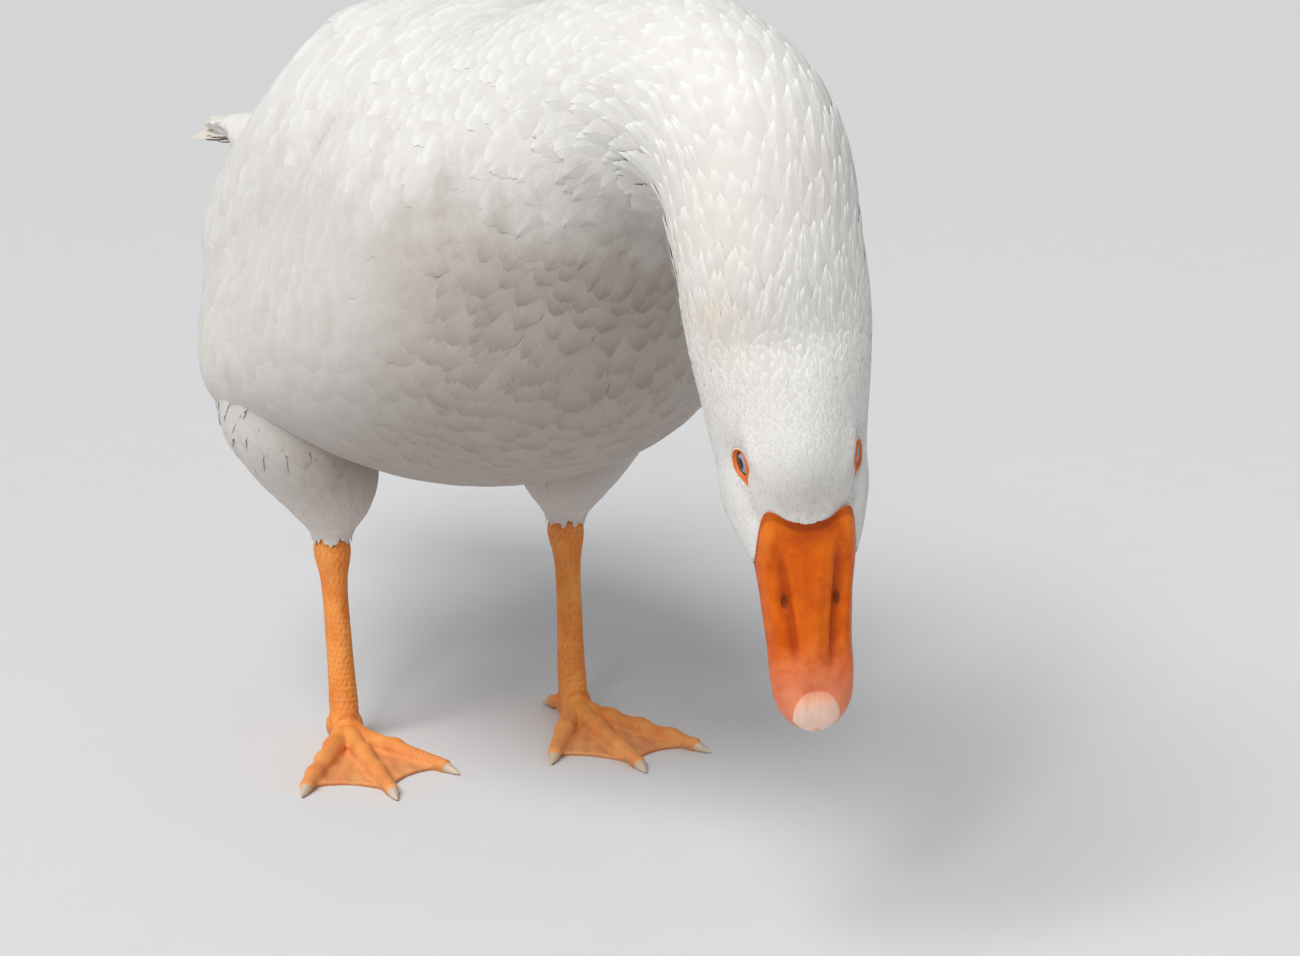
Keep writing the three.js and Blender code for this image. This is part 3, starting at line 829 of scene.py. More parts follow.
# A plume of the head: a short leaf with a ridge.
def plumeTemplate(bend=0.0):
    ridge, tip = (bend * 0.5, 0.45, 0.14), (bend, 1, 0.02)
    points = np.array([(0, 0, 0), (-1, 0.5, 0), (1, 0.5, 0), ridge, tip], float)
    triangles = np.array([(0, 2, 3), (0, 3, 1), (1, 3, 4), (3, 2, 4), (0, 1, 2), (1, 4, 2)])
    return points, outward(points, triangles)


# The half width along a feather: it grows until full, stays, and closes from where it narrows.
def outlineOf(full, growth, narrows, close, blunt):
    def outline(along):
        closing = np.clip((along - narrows) / (1 - narrows), 0, 1)
        return np.minimum(1, along / full) ** growth * (1 - closing ** close) ** blunt

    return outline


roundedOutline = outlineOf(0.4, 0.6, 0.42, 2.6, 0.5)
broadOutline = outlineOf(0.25, 0.5, 0.5, 4, 0.5)
softOutline = outlineOf(0.42, 0.6, 0.42, 1.9, 0.75)
pointedOutline = outlineOf(0.42, 0.7, 0.42, 1.25, 1)


def templates(count, rows, outline, **settings):
    return [vaneTemplate(seed, rows, outline, **settings) for seed in range(count)]


# Each feather is a small patch about its root's spot on the unwrap of the skin. It also has a
# map of its own for the barbs, where one unit is a hundred millimetres.
patchSize = 0.003
vaneScale = 100


def featherSpots(spot, shape):
    return np.clip(spot, 0.002, 0.998) + (shape[..., :2] * (0.5, 1) + (0, -0.5)) * patchSize


# Feathers laid in several goes are joined: points, triangles, spots, vane, tone and tip.
def joinFeathers(parts):
    rest = [np.concatenate([part[k] for part in parts]) for k in range(2, 6)]
    return [*joinMeshes([part[:2] for part in parts]), *rest]


# Millimetres along the surface for each step of its second coordinate.
def widthOf(surface, along, around, nudge=0.004):
    sides = [surface(along, around + nudge * way, 0.0) for way in (-1, 1)]
    return np.linalg.norm(sides[1] - sides[0], axis=1) / (2 * nudge)


# Lays feathers on a surface given by two running coordinates and a lift. Flow is the way
# that the tips point along the first coordinate.
def layFeathers(surface, spotOf, roots, kinds, draw, flow=-1):
    along, around = roots["along"], roots["around"]
    half = flow * roots["long"] / 2
    reached = [surface(along + half * share, around, 0.0) for share in (0, 1)]
    pace = np.maximum(np.linalg.norm(reached[1] - reached[0], axis=1) / np.abs(half), 0.45)
    width = widthOf(surface, along + half * 0.7, around)
    pick = draw.integers(0, len(kinds), len(along))
    laid = []
    for index, (shape, triangles) in enumerate(kinds):
        chosen = np.flatnonzero(pick == index)
        if not len(chosen):
            continue
        one = {key: value[chosen][:, None] for key, value in roots.items()}
        x = shape[None, :, 0] * one["wide"] / 2
        y = shape[None, :, 1] * one["long"]
        cosTurn, sinTurn = np.cos(one["turn"]), np.sin(one["turn"])
        ahead, aside = y * cosTurn - x * sinTurn, y * sinTurn + x * cosTurn
        rise = 1 - (1 - np.clip(shape[None, :, 1], 0, 1)) ** 1.6
        lift = one["low"] + (one["high"] - one["low"]) * rise + shape[None, :, 2] * one["wide"] / 2
        points = surface(one["along"] + flow * ahead / pace[chosen][:, None],
                         one["around"] + aside / width[chosen][:, None], lift)
        starts = np.arange(len(chosen)) * len(shape)
        spots = featherSpots(spotOf(along[chosen], around[chosen])[:, None], shape[None])
        laid.append((points.reshape(-1, 3), (triangles[None] + starts[:, None, None]).reshape(-1, 3),
                     spots.reshape(-1, 2), np.stack([x, y], -1).reshape(-1, 2) / vaneScale,
                     np.broadcast_to(one["tone"], x.shape).ravel(),
                     np.broadcast_to(shape[None, :, 1], x.shape).ravel()))
    return joinFeathers(laid)


sharpAngle = 65


def featherPiece(name, parts, *nodes):
    points, triangles, spots, vanes, tones, tips = joinFeathers(parts)
    if signedVolume(points, triangles) < 0:
        triangles = triangles[:, ::-1]
    maps, values = {"OFBake": spots, "vane": vanes}, {"tone": tones, "tip": tips}
    piece = makeMesh(name, points, triangles, maps, values)
    piece.data.set_sharp_from_angle(angle=math.radians(sharpAngle))
    piece.data.uv_layers["OFBake"].active_render = True
    print(name, len(triangles), "triangles")
    finishPiece(piece, plumage, "plumage", *nodes)


# Rows of roots that keep their distance on the surface itself, so that the outside of a bend
# has more of them than the inside. Every second row is shifted by half a feather.
rootGrid = {"step": 0.6, "columns": 300, "jitter": 0.3}


def rootRows(surface, start, end, pace, spread, draw):
    step, columns, jitter = rootGrid.values()
    lengths, angles = np.arange(start, end, step), np.linspace(0, fullTurn, columns + 1)
    places = surface(lengths[:, None], angles[None], 0.0)
    steps = np.linalg.norm(np.diff(places, axis=0), axis=2) / pace(lengths[:-1])[:, None]
    rows = np.concatenate([np.zeros((1, columns + 1)), np.cumsum(steps, axis=0)])
    widths = np.linalg.norm(np.diff(places, axis=1), axis=2) / spread(lengths)[:, None]
    marks = np.arange(int(rows.max()) + 1)
    lines = np.stack([np.interp(marks, one, lengths, right=np.nan) for one in rows.T], 1)
    along, around = [], []
    for row, line in enumerate(lines):
        inside = np.isfinite(line[:-1]) & np.isfinite(line[1:])
        index = np.where(inside, (line[:-1] - start) / step, 0).astype(int)
        run = np.concatenate([[0], np.cumsum(widths[index, np.arange(columns)] * inside)])
        count = int(run[-1] + 0.5)
        if count < 1:
            continue
        spots = (np.arange(count) + 0.5 * (row % 2) + jitter * (draw.random(count) - 0.5)) / count % 1
        turn = np.interp(spots * run[-1], run, angles)
        place = np.interp(turn, angles, line)
        shift = pace(np.nan_to_num(place, nan=start)) * jitter * (draw.random(count) - 0.5)
        kept = np.isfinite(place)
        along.append((place + shift)[kept])
        around.append(turn[kept])
    return np.concatenate(along), np.concatenate(around)


def chosenRoots(roots, keep):
    return {key: value[keep] for key, value in roots.items()}


# Sizes of the coat by section of the body.
coat = {
    "pace": {"tailBase": 10, "rump": 11, "middle": 11, "breast": 10.5, "shoulder": 10, "neckRoot": 9,
             "neckRise": 8.4, "archFront": 7.6, "neckDrop": 5.8, "nape": 3.2, "occiput": 2,
             "temple": 1.25, "eyes": 1.05, "cheek": 1, "gape": 0.9},
    "spread": {"tailBase": 13, "rump": 15, "middle": 16, "breast": 14.5, "shoulder": 12, "neckRoot": 10,
               "neckRise": 9.4, "archFront": 8.6, "neckDrop": 6.8, "nape": 3.4, "occiput": 1.9,
               "temple": 1.05, "eyes": 0.85, "cheek": 0.8, "gape": 0.7},
    "long": {"tailBase": 46, "rump": 48, "middle": 48, "breast": 44, "shoulder": 38, "neckRoot": 34,
             "neckRise": 31, "archFront": 28, "neckDrop": 22, "nape": 13, "occiput": 8.5, "temple": 5.2,
             "eyes": 4, "cheek": 3.5, "gape": 2.6},
    "wide": {"tailBase": 30, "rump": 34, "middle": 36, "breast": 32, "shoulder": 23, "neckRoot": 15.5,
             "neckRise": 16.5, "archFront": 16, "neckDrop": 13, "nape": 6, "occiput": 3.8, "temple": 2.5,
             "eyes": 2, "cheek": 1.8, "gape": 1.4},
}
coatSizes = {key: bySection(table) for key, table in coat.items()}


def bodyRoots(startName, endName, draw, spill, turn, spring=0.05):
    start, end = lengthAt(startName) + spill, lengthAt(endName)
    along, around = rootRows(outlinePoint, start, end, coatSizes["pace"], coatSizes["spread"], draw)
    count = len(along)
    size = 0.88 + 0.26 * draw.random(count)
    depth = coatDepth(along)
    return {
        "along": along, "around": around, "long": coatSizes["long"](along) * size,
        "wide": coatSizes["wide"](along) * (0.9 + 0.2 * draw.random(count)),
        "turn": np.radians(turn) * draw.normal(size=count), "low": -depth - 0.05,
        "high": depth * (spring * (2 * draw.random(count) - 1) - 0.12), "tone": draw.random(count)}


def underWing(roots, draw):
    part, across = wingPart(roots["along"]), wingAcross(roots["along"], roots["around"])
    ragged = 0.035 + 0.13 * draw.random(len(part)) ** 1.5
    low = -0.86 + 0.3 * draw.random(len(part)) ** 1.5
    return (part > ragged) & (part < 1.0) & (across > low) & (across < 0.9)


# Along the middle of the back the feathers lie over the wings' edges, at the tail they lie low,
# and at the collar they end in a ragged line.
trunkCoat = {"over": 2, "longer": 0.25, "sunk": 3.4, "sunkFrom": -10, "sunkTo": 34, "collar": 12,
             "ragged": 20, "parting": 30}


def makeTrunkFeathers():
    draw = np.random.default_rng(11)
    kinds = templates(6, 11, roundedOutline, fray=0.1, splits=3, camber=0.1, thick=0.03)
    roots = bodyRoots("tailBase", "neckRise", draw, spill=-12, turn=8, spring=0.07)
    ragged = trunkCoat["ragged"] * draw.random(len(roots["along"]))
    ahead = roots["along"] - lengthAt("neckRoot") + ragged
    roots = chosenRoots(roots, ~underWing(roots, draw) & (ahead < trunkCoat["collar"]))
    part = wingPart(roots["along"])
    top = 1 - smooth(8, 20, np.degrees(np.abs(roots["around"] - math.pi / 2)))
    covered = top * smooth(0.08, 0.25, part) * (1 - smooth(0.8, 1.0, part))
    fromTail = roots["along"] - lengthAt("tailBase")
    sunk = trunkCoat["sunk"] * (1 - smooth(trunkCoat["sunkFrom"], trunkCoat["sunkTo"], fromTail))
    roots["high"] = roots["high"] + trunkCoat["over"] * covered - sunk
    roots["long"] = roots["long"] * (1 + trunkCoat["longer"] * covered)
    front = roots["along"] > lengthAt("middle") + trunkCoat["parting"]
    for name, keep in (("feathersBreast", front), ("feathersRump", ~front)):
        some = chosenRoots(roots, keep)
        featherPiece(name, [layFeathers(outlinePoint, bodySpot, some, kinds, draw)])


# Towards the head the feathers lie less evenly, and at the throat some tips stand out.
neckCoat = {"uneven": 2.2, "longer": 0.3, "fringe": 2.8, "calm": 0.4, "roundTo": 10, "fineFrom": 12}


def makeNeckFeathers():
    draw = np.random.default_rng(12)
    soft = templates(6, 10, softOutline, reach=0.45, fray=0.1, splits=1, camber=0.07, thick=0.04)
    kinds = templates(6, 10, pointedOutline, reach=0.5, fray=0.1, splits=1, camber=0.1, thick=0.05)
    fine = templates(6, 6, pointedOutline, reach=0.5, fray=0.1, splits=1, camber=0.1, thick=0.05)
    roots = bodyRoots("neckRoot", "temple", draw, spill=-10, turn=4)
    fading = smooth(lengthAt("nape") - 2, lengthAt("temple") - 4, roots["along"])
    roots = chosenRoots(roots, draw.random(len(fading)) >= fading)
    along = roots["along"]
    small = smooth(lengthAt("archFront"), lengthAt("occiput"), along)
    roots["turn"] *= 1 + neckCoat["uneven"] * small
    roots["long"] *= 1 + neckCoat["longer"] * small * (draw.random(len(along)) - 0.5)
    below = smooth(0, 0.45, -np.sin(roots["around"]))
    throat = below * smooth(lengthAt("neckRise"), lengthAt("archFront"), along)
    fringe = neckCoat["fringe"] * throat * (1 - neckCoat["calm"] * small)
    roots["high"] = roots["high"] + fringe * draw.random(len(along)) ** 2
    rounder = along + 24 * draw.normal(size=len(along)) < lengthAt("neckRise") + neckCoat["roundTo"]
    finer = along > lengthAt("neckDrop") + neckCoat["fineFrom"]
    groups = (rounder, soft), (~rounder & ~finer, kinds), (finer, fine)
    featherPiece("feathersNeck", [
        layFeathers(outlinePoint, bodySpot, chosenRoots(roots, keep), shapes, draw)
        for keep, shapes in groups])


# Less than 1 on the lids and their corner towards the bill, which the plumes leave bare.
bareLids = {"long": 5.2, "high": 4.1, "corner": 4.1, "cornerHigh": 2.3}


def lidDistance(points, side):
    along, rise, out = eyeCoords(points, side)
    ring = np.hypot(along / bareLids["long"], rise / bareLids["high"])
    corner = np.hypot((along - bareLids["long"]) / bareLids["corner"], rise / bareLids["cornerHigh"])
    return np.where(out > -4, np.minimum(ring, corner), 9)


def makeHeadFeathers():
    draw = np.random.default_rng(13)
    kinds = [plumeTemplate(bend) for bend in (-0.5, 0.0, 0.5)]
    roots = bodyRoots("occiput", "gape", draw, spill=-34, turn=10)
    places = outlinePoint(roots["along"], roots["around"], 0.0)
    near = 0.55 + 0.45 * smooth(1, 2.6, np.minimum(lidDistance(places, 1), lidDistance(places, -1)))
    roots["long"], roots["wide"] = roots["long"] * near, roots["wide"] * near ** 0.5
    tips = outlinePoint(roots["along"] - roots["long"], roots["around"], 0.0)
    along, across, rise = headCoords(places)
    keep = along < marginAlong(across, rise) - 0.2
    keep &= draw.random(len(along)) < smooth(-34, -14, roots["along"] - lengthAt("occiput"))
    for side in (-1, 1):
        keep &= (lidDistance(places, side) > 1) & (lidDistance(tips, side) > 0.96)
    roots = chosenRoots(roots, keep)
    featherPiece("feathersHead", [layFeathers(outlinePoint, bodySpot, roots, kinds, draw)])


makeTrunkFeathers()
makeNeckFeathers()
makeHeadFeathers()


# Wings

def wingSurface(side):
    def surface(length, turn, lift):
        length, turn, lift = np.broadcast_arrays(length, turn, lift)
        part = wingPart(length)
        low, high = wingEdges(part)
        across = 2 * (turn - low) / (high - low) - 1
        angle = turn if side > 0 else math.pi - turn
        return bodyPoint(length, angle, wingThickness(part, across) + lift)

    return surface


wingRows = {
    "lesser": {"parts": np.linspace(0.03, 0.34, 13), "across": (-1.0, 0.75), "long": (24, 34),
               "wide": (20, 28), "gap": (11, 15), "lift": (-2.1, -0.45)},
    "median": {"parts": (0.365, 0.41), "across": (-1.0, 0.6), "long": (38, 44), "wide": (21, 23),
               "gap": (14, 16), "lift": (-2.0, -1.1)},
    "greater": {"parts": (0.44,), "across": (-1.0, 0.55), "long": (78, 78), "wide": (27, 27),
                "gap": (17, 17), "lift": (-2.4, -2.0)},
    "scapular": {"parts": np.linspace(0.05, 0.62, 13), "across": (0.42, 1.12), "long": (36, 84),
                 "wide": (23, 36), "gap": (15, 21), "lift": (-2.2, 0.6)},
}


def wingSpot(side):
    return lambda length, turn: bodySpot(length, turn if side > 0 else math.pi - turn)


def covertRoots(row, surface, draw):
    fields = {key: [] for key in ("along", "around", "long", "wide")}
    parts = np.asarray(row["parts"], float)
    for index, part in enumerate(parts):
        share = index / max(1, len(parts) - 1)
        low, high = wingEdges(part)
        first, last = (low + (high - low) * (across + 1) / 2 for across in row["across"])
        length = wingLength(part)
        edge = surface(np.full(60, length), np.linspace(first, last, 60), 0.0)
        run = np.linalg.norm(np.diff(edge, axis=0), axis=1).sum()
        gap = row["gap"][0] + (row["gap"][1] - row["gap"][0]) * share
        count = max(2, int(run / gap) + 1)
        marks = (np.arange(count) + 0.5 * (index % 2) + 0.2 * (draw.random(count) - 0.5)) / count
        fields["around"].append(first + (last - first) * marks)
        fields["along"].append(length + 3 * (draw.random(count) - 0.5))
        size = 0.93 + 0.14 * draw.random(count)
        for key in ("long", "wide"):
            fields[key].append((row[key][0] + (row[key][1] - row[key][0]) * share) * size)
    roots = {key: np.concatenate(value) for key, value in fields.items()}
    count = len(roots["along"])
    low, high = row["lift"]
    roots.update(turn=np.radians(3.5) * draw.normal(size=count), low=np.full(count, float(low)),
                 high=high + 0.3 * (draw.random(count) - 0.5), tone=draw.random(count))
    return roots


# Long flight feathers in groups. A pair is the first feather's value and the change to the
# last: places of root and tip along the wing and across it, width and lift at root and tip.
flightGroups = {
    "primaries": {"count": 6, "root": (0.66, 0), "rootAcross": (-0.55, 0.4), "tip": (0.94, 0.075),
                  "tipAcross": (-0.36, 0.62), "wide": (21, 0), "low": (-5.6, 0), "high": (-4, 2.75)},
    "secondaries": {"count": 8, "root": (0.5, 0), "rootAcross": (-0.7, 0.75), "tip": (0.8, 0.07),
                    "tipAcross": (-0.66, 0.72), "wide": (30, 0), "low": (-4.3, 0), "high": (-2.6, 2.8)},
    "tertials": {"count": 5, "root": (0.5, 0.12), "rootAcross": (0.18, 0.62), "tip": (0.965, -0.14),
                 "tipAcross": (0.08, 0.62), "wide": (34, 0), "low": (-3.8, 0), "high": (0, 1.4)},
}


def flightBlades():
    blades = []
    for group in flightGroups.values():
        for share in np.linspace(0, 1, group["count"]):
            blades.append({key: pair[0] + pair[1] * share for key, pair in group.items() if key != "count"})
    return blades


# Each flight feather lies a little higher along its lower edge and has painted shade along both edges.
bladeForm = {"tilt": 0.9, "pale": 0.92, "edgeShade": 0.22}


def edgeShading(shape):
    return bladeForm["pale"] - bladeForm["edgeShade"] * np.clip(np.abs(shape[:, 0]), 0, 1) ** 3


def layBlades(side, blades, kinds, draw):
    surface, spotOf = wingSurface(side), wingSpot(side)
    parts = []
    for blade in blades:
        shape, triangles = kinds[draw.integers(0, len(kinds))]
        x, y, z = shape[:, 0] * blade["wide"] / 2, shape[:, 1], shape[:, 2] * blade["wide"] / 2
        part = blade["root"] + (blade["tip"] - blade["root"]) * y
        across = blade["rootAcross"] + (blade["tipAcross"] - blade["rootAcross"]) * y ** 1.15
        lowTurn, highTurn = wingEdges(part)
        turn = lowTurn + (highTurn - lowTurn) * (across + 1) / 2
        length = wingLength(part)
        tilt = -bladeForm["tilt"] * shape[:, 0] * smooth(0, 0.3, y)
        lift = blade["low"] + (blade["high"] - blade["low"]) * np.clip(y, 0, 1) ** 0.6 + z + tilt
        points = surface(length, turn + x / widthOf(surface, length, turn), lift)
        spots = featherSpots(spotOf(np.array([wingLength(blade["root"])]), turn[:1]), shape)
        span = np.linalg.norm(points[-1] - points[-2])
        vanes = np.stack([x, y * span], -1) / vaneScale
        parts.append((points, triangles, spots, vanes, np.full(len(x), draw.random()), edgeShading(shape)))
    return parts


def makeWings():
    coverts = templates(5, 11, roundedOutline, fray=0.06, splits=1, camber=0.07, thick=0.03)
    blades = templates(4, 24, broadOutline, reach=0.12, fray=0.03, splits=2, camber=0.07, thick=0.05)
    for name, side in bothSides:
        draw = np.random.default_rng(20 + side)
        surface = wingSurface(side)
        parts = [layFeathers(surface, wingSpot(side), covertRoots(row, surface, draw), coverts, draw)
                 for row in wingRows.values()]
        featherPiece(f"coverts{name}", parts)
        featherPiece(f"flightFeathers{name}", layBlades(side, flightBlades(), blades, draw),
                     f"flight_feathers_{name.lower()}")


makeWings()


# Tail

tailForm = {"rootY": 238, "height": 271.2, "first": 1.2, "fan": 24, "shorter": 0.2, "rootFrom": 2,
            "rootSpread": 17, "stack": 2.2, "stackFalls": 4.2, "droop": 7, "half": 57}
# Each layer: pairs of feathers, length, width and height over the middle layer.
tailLayers = ((8, 113, 27, 0), (7, 97, 27, 2), (7, 99, 27, -2.4), (6, 84, 27, -4.6))


def makeTail():
    draw = np.random.default_rng(31)
    kinds = templates(4, 20, broadOutline, reach=0.16, fray=0.04, splits=2, camber=0.12, thick=0.06)
    parts = []
    for pairs, longest, wide, over in tailLayers:
        for share in np.linspace(0, 1, pairs):
            for side in (1, -1):
                shape, triangles = kinds[draw.integers(0, len(kinds))]
                first = tailForm["first"]
                angle = math.radians(first + (tailForm["fan"] - first) * share) * side
                shorter = 1 - tailForm["shorter"] * share ** 1.6
                x, y = shape[:, 0] * wide / 2, shape[:, 1] * longest * shorter
                root = side * (tailForm["rootFrom"] + tailForm["rootSpread"] * share)
                px = root + y * math.sin(angle) + x * math.cos(angle)
                py = tailForm["rootY"] + y * math.cos(angle) - x * math.sin(angle)
                stack = tailForm["stack"] - tailForm["stackFalls"] * share + 0.2 * side
                pz = (tailForm["height"] + over * (1 - 0.6 * shape[:, 1]) + stack * (1 - 0.45 * shape[:, 1])
                      - tailForm["droop"] * (px / tailForm["half"]) ** 2 + shape[:, 2] * wide / 2 * 0.8)
                around = math.pi / 2 - side * (0.2 + share)
                spot = bodySpot(np.array([lengthAt("tailBase")]), np.array([around]))
                # Tail feathers get the same painted shade along their edges.
                parts.append((np.stack([px, py, pz], -1), triangles, featherSpots(spot, shape),
                              np.stack([x, y], -1) / vaneScale, np.full(len(x), draw.random()),
                              edgeShading(shape)))
    featherPiece("tailFeathers", parts)


makeTail()


# Thighs

def insideTrunk(points, slack):
    count = sectionNames.index("neckRoot") + 1
    lengths = np.interp(-points[:, 1], -bodyRows[:count, 1], bodyKnots[:count])
    row = sectionAt(lengths)
    away = points - row[:, :3]
    rise, across = (away * row[:, 6:9]).sum(1), (away * row[:, 3:6]).sum(1)
    reach = np.where(rise > 0, row[:, 10], row[:, 11]) - slack
    return (across / (row[:, 9] - slack)) ** 2 + (rise / reach) ** 2 < 1


# Pace and spread are the distance between roots at the top and its change to the foot. High is
# the least lift of a tip and how far it can vary.
thighCoat = {"top": 18, "foot": 105, "span": 107, "pace": (8, -5), "spread": (9, -6), "slack": 4,
             "long": 27, "wide": 17, "shrink": 0.72, "turn": 11, "low": -3.2, "high": (-0.4, 0.5)}


def downThigh(pair):
    return lambda down: pair[0] + pair[1] * smooth(40, 100, down)


def makeThighFeathers():
    kinds = templates(5, 9, softOutline, fray=0.16, splits=3, camber=0.09, thick=0.04)
    for name, side in bothSides:
        draw = np.random.default_rng(40 + side)
        surface = limbSurface(thighRows + ((92, 59, 25, 9.2, 11.6),), side)
        pace, spread = downThigh(thighCoat["pace"]), downThigh(thighCoat["spread"])
        along, around = rootRows(surface, thighCoat["top"], thighCoat["foot"], pace, spread, draw)
        keep = ~insideTrunk(surface(along, around, 0.0), thighCoat["slack"])
        along, around = along[keep], around[keep]
        count = len(along)
        small = 1 - thighCoat["shrink"] * smooth(50, 104, along)
        low, rise = thighCoat["high"]
        roots = {"along": along, "around": around,
                 "long": thighCoat["long"] * small * (0.9 + 0.2 * draw.random(count)),
                 "wide": thighCoat["wide"] * small,
                 "turn": np.radians(thighCoat["turn"]) * draw.normal(size=count),
                 "low": thighCoat["low"] * small,
                 "high": (low + rise * draw.random(count)) * small, "tone": draw.random(count)}
        spotOf = lambda down, turn: thighSpot(turn / fullTurn % 1, down / thighCoat["span"], side)
        featherPiece(f"feathersThigh{name}", [layFeathers(surface, spotOf, roots, kinds, draw, 1)])


makeThighFeathers()


# Eyes and lids

def makeEyeFinish():
    finish = Finish("eye")
    u, v = finish.mapped("iris")
    ring = (u * u + v * v) ** 0.5
    spoke = finish.maths("ARCTAN2", v, u)
    fibres = finish.noise(3.2, 3, 0.6, finish.joined(spoke * 4, ring * 3, 0.0))
    blue = finish.mix(finish.step(0.3, 0.75, fibres), colour(0.13, 0.22, 0.34), colour(0.40, 0.53, 0.66))
    rim = finish.mix(finish.step(0.47, 0.6, ring), blue, colour(0.03, 0.04, 0.06))
    inner = finish.mix(1 - finish.step(0.3, 0.36, ring), rim, colour(0.06, 0.10, 0.15))
    whole = finish.mix(1 - finish.step(0.275, 0.3, ring), inner, colour(0.003, 0.003, 0.004))
    finish.set(Base_Color=whole, Roughness=0.3, Specular_IOR_Level=0.05, Coat_Weight=0.55,
               Coat_Roughness=0.02)
    return finish.material


def makeLidFinish():
    finish = Finish("lid")
    wrinkles = finish.noise(1400, 3, 0.6)
    folds = finish.cells(900)
    orange = finish.mix(wrinkles, colour(0.60, 0.10, 0.012), colour(0.82, 0.22, 0.03))
    rim = finish.value("rim")
    # Darker at the inner edge, where the lid turns in against the eye, and in the fold of the lid: painted
    # shade.
    inner = finish.mix(1 - finish.step(0.02, 0.22, rim), orange, colour(0.16, 0.03, 0.012))
    foldShade = finish.mix(finish.fading(((rim - 0.5) / 0.08) ** 2) * 0.5, inner, colour(0.34, 0.05, 0.01))
    outer = finish.mix(finish.step(1.02, 1.35, rim), foldShade, colour(0.78, 0.70, 0.64))
    finish.set(Base_Color=outer, Roughness=0.42, Normal=finish.bump(wrinkles + folds, 0.0002, 0.5),
               Specular_IOR_Level=0.4)
    return finish.material


eyeFinish, lidFinish = makeEyeFinish(), makeLidFinish()


def makeEye(name, side):
    polar, turn = gridOf(np.linspace(0.01, math.pi - 0.01, 44), turns(64))
    radius = eyeForm["radius"] + eyeForm["cornea"] * np.exp(-(polar / eyeForm["corneaReach"]) ** 4)
    along, rise = radius * np.sin(polar) * np.cos(turn), radius * np.sin(polar) * np.sin(turn)
    out = radius * np.cos(polar) - eyeForm["underLids"] * smooth(0.9, 1.2, lidRing(along, rise))
    points, triangles, _ = closedLoft(eyePoint(side, along, rise, out - eyeForm["inset"]))
    along, rise, out = eyeCoords(points, side)
    facing = np.where(out > 0, 1, 3)
    iris = np.stack([along - 0.2, rise], -1) / eyeForm["radius"] * facing[:, None]
    piece = makeMesh(f"eyeball{name}", points, triangles, {"iris": iris})
    finishPiece(piece, eyeFinish, "eye", f"eye_{name.lower()}")


# How far out the skin lies beside the eye, looked up from a patch of the skin.
def skinOut(side, along, rise):
    lengths = np.linspace(lengthAt("temple"), lengthAt("lores"), 120)
    angles = np.linspace(-0.5, 1.5, 130)
    length, angle = gridOf(lengths, angles if side > 0 else math.pi - angles)
    patch = eyeCoords(outlinePoint(length, angle, -coatDepth(length)).reshape(-1, 3), side)
    away = (patch[0][None] - along[:, None]) ** 2 + (patch[1][None] - rise[:, None]) ** 2
    return patch[2][np.argmin(away, axis=1)]


# The lid's section from the opening (0) over the rim to where it slips under the plumes.
lidProfile = ((0, -0.1), (0.06, 0.32), (0.2, 0.62), (0.38, 0.6), (0.5, 0.5), (0.66, 0.64), (0.84, 0.55),
              (1, 0.32), (1.25, 0.1), (1.7, -0.02), (2.3, -0.5), (2.3, -1.4), (0.9, -1.9), (0.2, -1.5))


def makeLids(name, side):
    count, profile = 120, len(lidProfile)
    turn = turns(count)
    corner = bell((turn + math.pi) % fullTurn - math.pi, 0.36)
    innerAlong = lidForm["open"][0] * np.cos(turn) + 0.5 * corner
    innerRise = lidForm["open"][1] * np.sin(turn) * (1 - 0.2 * corner)
    outerAlong = lidForm["brim"][0] * np.cos(turn) + lidForm["corner"] * corner
    outerRise = lidForm["brim"][1] * np.sin(turn) * (1 - 0.3 * corner)
    outside = evened(skinOut(side, outerAlong * 1.2, outerRise * 1.2), 17, "wrap")
    ball = eyeForm["radius"]
    inside = np.sqrt(ball ** 2 - innerAlong ** 2 - innerRise ** 2) - eyeForm["inset"]
    notch = 1 + 0.07 * np.sin(turn * 23) + 0.05 * np.sin(turn * 37 + 1)
    rings = []
    for across, height in lidProfile:
        rings.append(eyePoint(side, innerAlong + (outerAlong - innerAlong) * across,
                              innerRise + (outerRise - innerRise) * across,
                              inside + (outside - inside) * min(across, 1) + height * notch))
    points = np.stack(rings, 1).reshape(-1, 3)
    rowOf, columnOf = loftTriangles(count + 1, profile)
    triangles = (rowOf % count) * profile + columnOf % profile
    rim = np.tile([across for across, _ in lidProfile], count)
    piece = makeMesh(f"lids{name}", points, outward(points, triangles), None, {"rim": rim})
    finishPiece(piece, lidFinish, "bill")


for name, side in bothSides:
    makeEye(name, side)
    makeLids(name, side)
print("eyes made")


# Bill

billRows = ((18, 19, 12, -7, -21), (36, 19, 7, -8.5, -20.5), (52, 17, 2.5, -11, -19.5),
            (68, 15.6, -1, -12.5, -19), (84, 15, -5, -13, -18), (95, 12.4, -8, -13.5, -16.5),
            (101, 6, -11, -13.8, -15))
billForm = {"tip": 102.2, "gap": 0.5, "overlap": 2.2, "nostril": (53, 0.62), "nail": 87.5,
            "rounding": 84, "tipHalf": 15, "thinFrom": 94, "square": 0.86, "lowerIn": 1.4}


